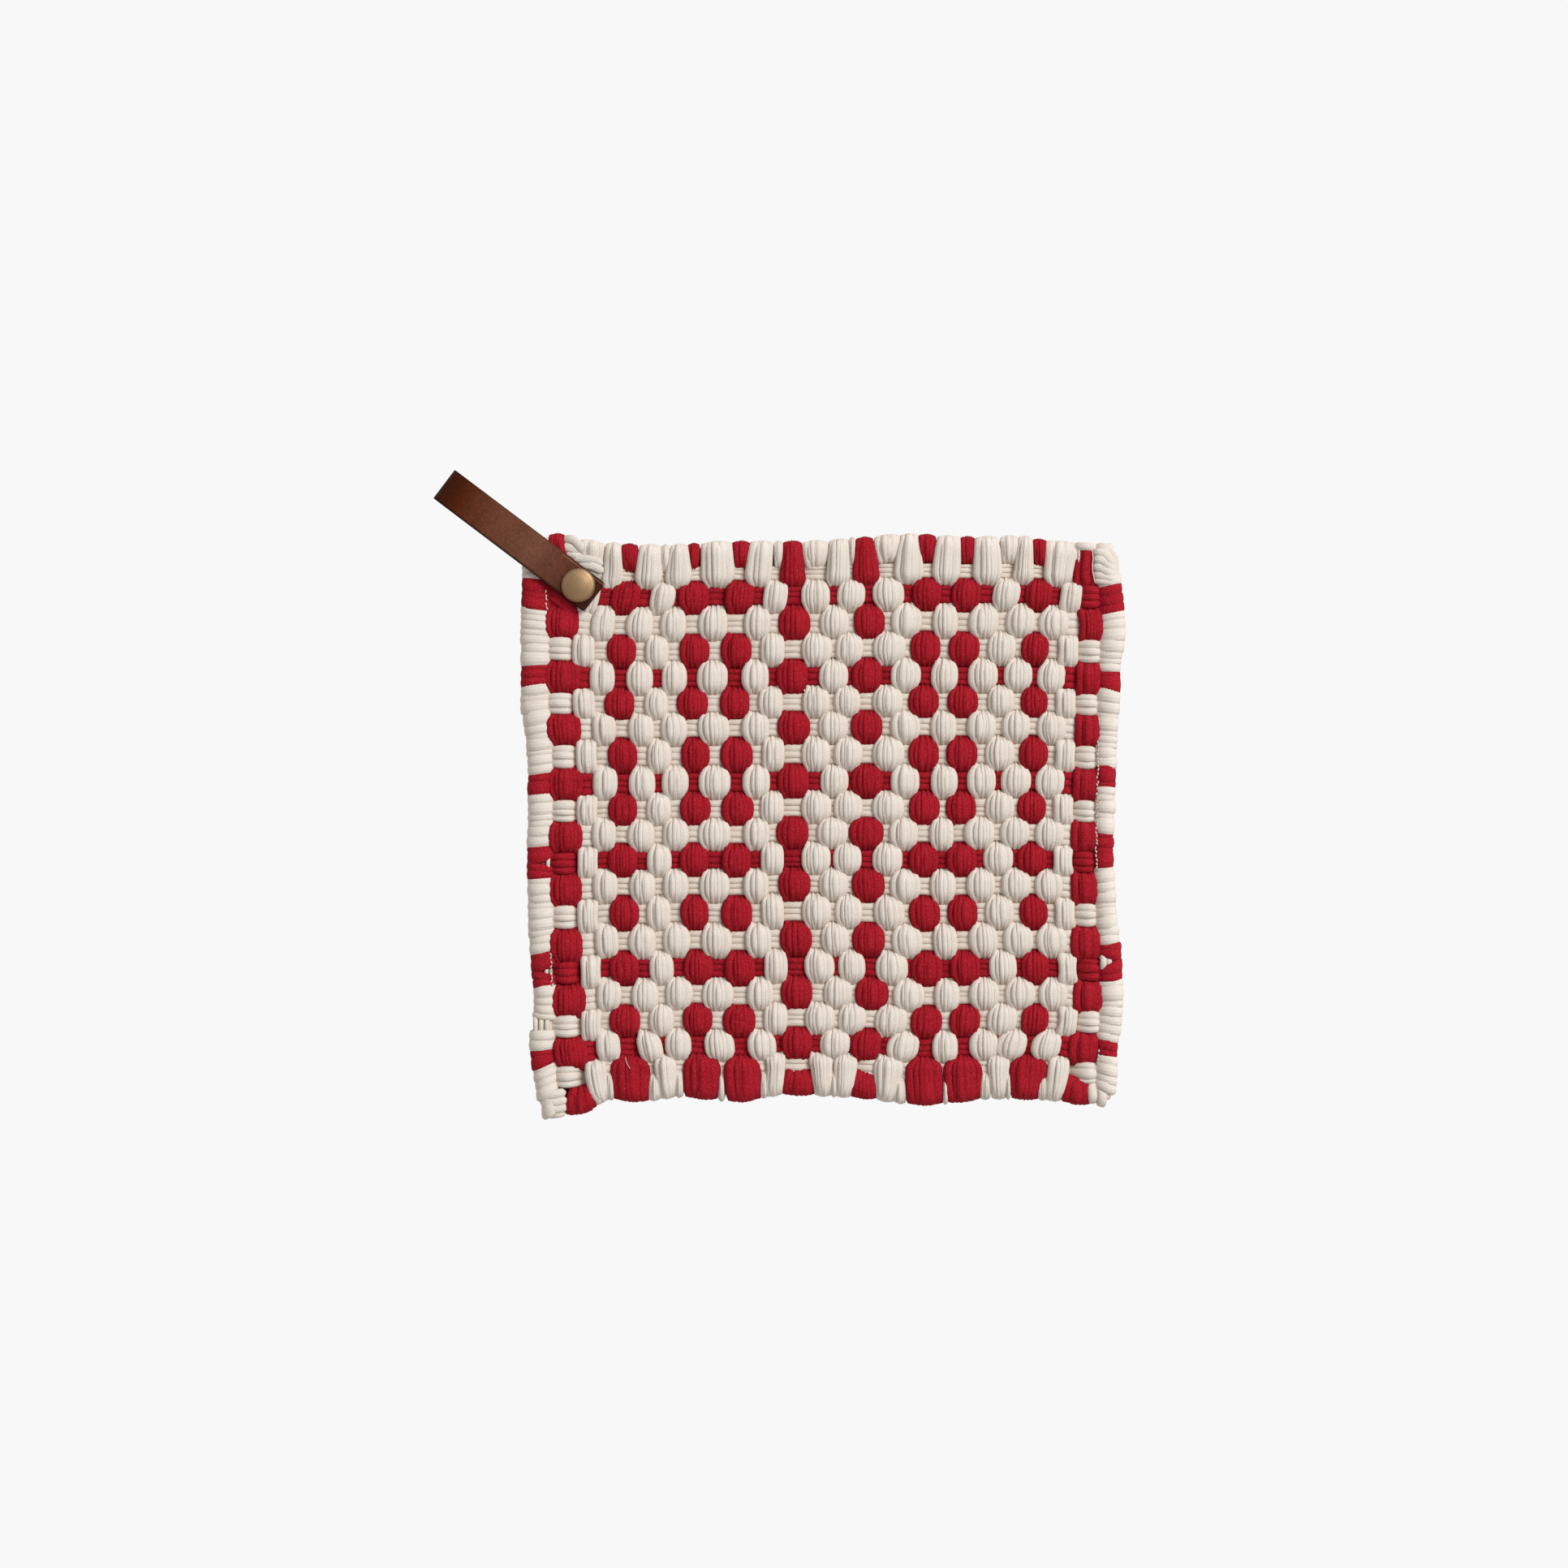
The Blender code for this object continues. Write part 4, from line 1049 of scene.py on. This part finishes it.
def loop_surface():
    """A flat section with rounded edges carried along the loop, with the corners of its ends rounded.

    The section is a rounded rectangle, read at equal angles of its corner arcs. Near an end its half width
    is drawn in by a quarter circle. The UV is the millimetres along the leather and across it.
    """
    path = loop_path()
    gone = length_along(*path.T)
    end_steps = np.array(CORNER_STEPS) * LOOP_CORNER
    at = np.concatenate([end_steps, gone[3:-3], gone[-1] - end_steps[::-1]])
    path = np.stack([np.interp(at, gone, axis) for axis in path.T], axis=1)
    run = np.gradient(path, at, axis=0)
    run /= np.linalg.norm(run, axis=1)[:, None]
    to_end = np.minimum(at, at[-1] - at)
    short = np.maximum(LOOP_CORNER - to_end, 0)
    half = LOOP_WIDTH / 2 - LOOP_CORNER + np.sqrt(LOOP_CORNER**2 - short**2)
    thin = LOOP_HALF * np.interp(to_end, [0, END_BEVEL], [END_THIN, 1.0])
    quarter = np.arange(4)[::-1, None] * math.pi / 2
    angle = (quarter + np.linspace(math.pi / 2, 0, ARC_POINTS)).reshape(-1)
    corner = np.repeat(quarter + math.pi / 4, ARC_POINTS)
    side = np.sign(np.cos(corner)) * (half[:, None] - LOOP_EDGE) + LOOP_EDGE * np.cos(angle)
    lift = np.sign(np.sin(corner)) * (thin[:, None] - LOOP_EDGE) + LOOP_EDGE * np.sin(angle)
    along = path[:, :1] - run[:, 1:] * lift
    up = path[:, 1:] + run[:, :1] * lift
    c, s = math.cos(LOOP_TURN), math.sin(LOOP_TURN)
    rings = np.stack([along * c - side * s, along * s + side * c, up], axis=2)
    uv = np.stack(np.broadcast_arrays(at[:, None], side), axis=2)
    uv = np.concatenate([uv, uv[:, :1]], axis=1)
    pole_uv = [[[at[0], 0]], [[at[-1], 0]]]
    poles = rings[None, [0, -1]].mean(axis=2)
    return closed_tubes(rings[None], poles, uv[None], pole_uv, np.zeros(side.size + 2))


def loop_leather():
    """Smooth brown leather with burnished edges, and painted light and shade laid on from its UV map."""
    material, tree, shader = new_material("loop_leather")
    along, across = uv_place(tree)
    fold_middle = FOLD_AT - LOOP_NEAR_END + math.pi * (FOLD_RADIUS - LOOP_HALF) / 2
    from_fold = maths(tree, "ABSOLUTE", maths(tree, "SUBTRACT", along, fold_middle))
    # Painted light and shade along the strap: darker at the fold and the ends, lighter between.
    painted_light_and_shade = shader_node(tree, "ShaderNodeValToRGB", {"Fac": maths(tree, "DIVIDE", from_fold, fold_middle)})
    ramp = painted_light_and_shade.color_ramp.elements
    while len(ramp) < len(LEATHER_PAINTED_LIGHT_AND_SHADE):
        ramp.new(0.5)
    for element, (position, colour) in zip(ramp, LEATHER_PAINTED_LIGHT_AND_SHADE):
        element.position = position
        element.color = (*colour, 1)
    grain = texture(tree, "Noise", "Fac", Scale=1100.0, Detail=4.0)
    clouds = texture(tree, "Noise", "Fac", Scale=160.0, Detail=3.0)
    pores = texture(tree, "Voronoi", "Distance", Scale=1500.0)
    mottle = maths(tree, "ADD", gained(tree, grain, 0.47, 2.2), gained(tree, clouds, 0.42, 0.9))
    kept = maths(tree, "SUBTRACT", 1.0, maths(tree, "MULTIPLY", mottle, 0.45))
    mottled = {"Vector": painted_light_and_shade.outputs["Color"], "Scale": kept}
    colour = shader_node(tree, "ShaderNodeVectorMath", mottled, operation="SCALE").outputs["Vector"]
    # Dark edges: burnish, with painted shade on the edge away from the light.
    for way, wide, share in BURNISHED_AND_SHADED_EDGES:
        edge = {
            "Value": maths(tree, "MULTIPLY", across, way),
            "From Min": LOOP_WIDTH / 2 - wide,
            "From Max": LOOP_WIDTH / 2 - wide / 3,
            "To Max": share,
        }
        dark = shader_node(tree, "ShaderNodeMapRange", edge).outputs["Result"]
        colour = blended(tree, dark, colour, (0.026, 0.008, 0.005, 1))
    # A painted highlight line along the edge that faces the light.
    from_highlight_line = maths(tree, "ABSOLUTE", maths(tree, "ADD", across, HIGHLIGHT_LINE_AT))
    highlight_line = maths(tree, "LESS_THAN", from_highlight_line, HIGHLIGHT_LINE_WIDE / 2)
    highlight_line = maths(tree, "MULTIPLY", highlight_line, maths(tree, "LESS_THAN", along, HIGHLIGHT_LINE_LONG))
    colour = blended(tree, maths(tree, "MULTIPLY", highlight_line, 0.6), colour, (0.30, 0.16, 0.11, 1))
    height = maths(tree, "ADD", grain, maths(tree, "MULTIPLY", pores, 0.6))
    bump = shader_node(tree, "ShaderNodeBump", {"Strength": 0.6, "Distance": 0.00014, "Height": height})
    rough = shader_node(tree, "ShaderNodeMapRange", {"Value": clouds, "To Min": 0.5, "To Max": 0.68})
    feed(tree, shader.inputs["Base Color"], colour)
    feed(tree, shader.inputs["Normal"], bump.outputs["Normal"])
    feed(tree, shader.inputs["Roughness"], rough.outputs["Result"])
    shader.inputs["Specular IOR Level"].default_value = 0.05
    return material


loop = new_piece("folded_leather_loop", loop_surface(), loop_leather())
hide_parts("leather_loop")
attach(loop, BODY)

# ======================================================================= the rivet
# A brass rivet with an aged matt finish: a low domed cap on a post over the loop, and a flat cap under it.

CAP_RADIUS = 5.9
CAP_UNDER = 9.5
CAP_RIM_TOP = 11.05
CAP_TOP = 11.65
CAP_LIP = 1.6  # the radius of the rim's round
CAP_BEVEL = (0.08, 0.25)  # how far in the underside's edge is cut off, twice
DOME_STEPS = 18
RIM_STEPS = 14
RIM_FROM = 0.13  # where on its quarter turn the rim takes over from the dome
POST_RADIUS = 1.5
POST_END = 1.6
BACK_RADIUS = 5.3
BACK_TOP = 1.3
# Its rounded edges: (how far inside its radius, how far below its top or above its bottom).
BACK_TOP_EDGE = ((0.5, 0.0), (0.15, 0.1), (0.0, 0.35))
BACK_BOTTOM_EDGE = ((0.0, 0.35), (0.15, 0.1), (0.4, 0.0))
TURNED_STEPS = 96
SHARP_EDGE = math.radians(50)


def turned_surface(profile):
    """A profile of (radius, height) corners, from the top pole to the bottom one, turned about the rivet."""
    radius, height = np.transpose(profile[1:-1])[:, :, None]
    angle = np.arange(TURNED_STEPS + 1) * math.tau / TURNED_STEPS
    rings = np.stack([radius * np.cos(angle), radius * np.sin(angle), height + 0 * angle], axis=2)[None]
    poles = np.array([[[0, 0, profile[end][1]] for end in (0, -1)]])
    shade = np.zeros(len(radius) * TURNED_STEPS + 2)
    return closed_tubes(rings[:, :, :-1], poles, rings[..., :2], 0.0, shade)


def cap_profile():
    """The domed cap: part of a circle, a rounded rim, the flat underside, and the post."""
    radius = CAP_RADIUS - CAP_LIP
    rise = CAP_TOP - CAP_RIM_TOP
    ball = (radius**2 + rise**2) / (2 * rise)
    lean = np.linspace(0, math.asin(radius / ball), DOME_STEPS)
    dome = list(zip(ball * np.sin(lean), CAP_TOP - ball * (1 - np.cos(lean))))
    turn = np.linspace(RIM_FROM, 1, RIM_STEPS)[1:] * math.pi / 2
    rim = list(zip(radius + CAP_LIP * np.sin(turn), CAP_RIM_TOP - CAP_LIP + CAP_LIP * np.cos(turn)))
    outer, inner = CAP_BEVEL
    under = [(CAP_RADIUS - outer, CAP_UNDER + outer), (CAP_RADIUS - inner, CAP_UNDER)]
    post = [(POST_RADIUS, CAP_UNDER), (POST_RADIUS, POST_END), (0, POST_END)]
    return [*dome, *rim, *under, *post]


def back_profile():
    """The flat cap pressed onto the post, with rounded edges."""
    top = [(BACK_RADIUS - inside, BACK_TOP - below) for inside, below in BACK_TOP_EDGE]
    bottom = [(BACK_RADIUS - inside, above) for inside, above in BACK_BOTTOM_EDGE]
    return [(0, BACK_TOP), *top, *bottom, (0, 0)]


def antique_brass():
    """Brass with a dull, cloudy patina, fine rubbed specks and a few dark pits."""
    material, tree, shader = new_material("antique_brass")
    clouds = texture(tree, "Noise", "Fac", Scale=420.0, Detail=4.0)
    specks = texture(tree, "Noise", "Fac", Scale=2600.0, Detail=2.0)
    pitted = maths(tree, "LESS_THAN", texture(tree, "Voronoi", "Distance", Scale=330.0), 0.1)
    colour = blended(tree, clouds, (0.45, 0.285, 0.155, 1), (0.27, 0.165, 0.085, 1))
    colour = blended(tree, maths(tree, "MULTIPLY", specks, 0.35), colour, (0.52, 0.38, 0.23, 1))
    colour = blended(tree, maths(tree, "MULTIPLY", pitted, 0.55), colour, (0.10, 0.05, 0.03, 1))
    rough = shader_node(tree, "ShaderNodeMapRange", {"Value": clouds, "To Min": 0.42, "To Max": 0.6})
    bump = shader_node(tree, "ShaderNodeBump", {"Strength": 0.12, "Distance": 0.0001, "Height": specks})
    feed(tree, shader.inputs["Base Color"], colour)
    feed(tree, shader.inputs["Roughness"], rough.outputs["Result"])
    feed(tree, shader.inputs["Normal"], bump.outputs["Normal"])
    shader.inputs["Metallic"].default_value = 0.8
    shader.inputs["Specular IOR Level"].default_value = 0.3
    return material


BRASS = antique_brass()
for name, node, profile in (
    ("domed_rivet_cap", "rivet_cap", cap_profile()),
    ("flat_rivet_cap", "rivet_back", back_profile()),
):
    cap = new_piece(name, turned_surface(profile), BRASS)
    cap.data.set_sharp_from_angle(angle=SHARP_EDGE)
    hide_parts(node)
    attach(cap, BODY)

# ======================================================================= the floor, the light and the camera
# The pot holder lies on an evenly lit near-white table that shows no shadow, as in the picture. The light
# comes softly from the upper right, and the camera looks straight down.

FLOOR_HALF_M = 3.0
TABLE_GLOW = 0.939
KEY_AT_M = (3.1, 2.7, 3.6)
FRAME_M = 1932 * 0.28 * MM  # the width that the picture shows
LENS = 85.0
SENSOR = 36.0
CAMERA_OFF_M = (0.0016, 0.0031)
SHARP_AT_M = 0.006  # the frame has its width at this height, a little above the cloth's middle


def make_floor():
    """A square table top that glows evenly, like a light box."""
    mesh = bpy.data.meshes.new("floor")
    corners = [(x * FLOOR_HALF_M, y * FLOOR_HALF_M, 0) for x, y in ((-1, -1), (1, -1), (1, 1), (-1, 1))]
    mesh.from_pydata(corners, [], [(0, 1, 2, 3)])
    material, _, shader = new_material("floor")
    shader.inputs["Base Color"].default_value = (0, 0, 0, 1)
    shader.inputs["Specular IOR Level"].default_value = 0
    shader.inputs["Emission Color"].default_value = (TABLE_GLOW, TABLE_GLOW, TABLE_GLOW, 1)
    shader.inputs["Emission Strength"].default_value = 1
    mesh.materials.append(material)
    return new_object("floor", mesh)


make_floor()

key_data = bpy.data.lights.new("key", "AREA")
key_data.size = 3.2
key_data.energy = 280.0
key = new_object("key", key_data)
key.location = KEY_AT_M
key_x, key_y, key_z = KEY_AT_M
key.rotation_euler = (math.atan2(math.hypot(key_x, key_y), key_z), 0, math.atan2(key_x, -key_y))

world = bpy.data.worlds.new("studio")
world.use_nodes = True
background = world.node_tree.nodes["Background"]
background.inputs["Color"].default_value = (1, 0.945, 0.885, 1)
background.inputs["Strength"].default_value = 0.41
bpy.context.scene.world = world
bpy.context.scene.view_settings.view_transform = "Standard"

camera_data = bpy.data.cameras.new("camera")
camera_data.lens = LENS
camera_data.sensor_width = SENSOR
camera = new_object("camera", camera_data)
camera.location = (*CAMERA_OFF_M, FRAME_M * LENS / SENSOR + SHARP_AT_M)
bpy.context.scene.camera = camera
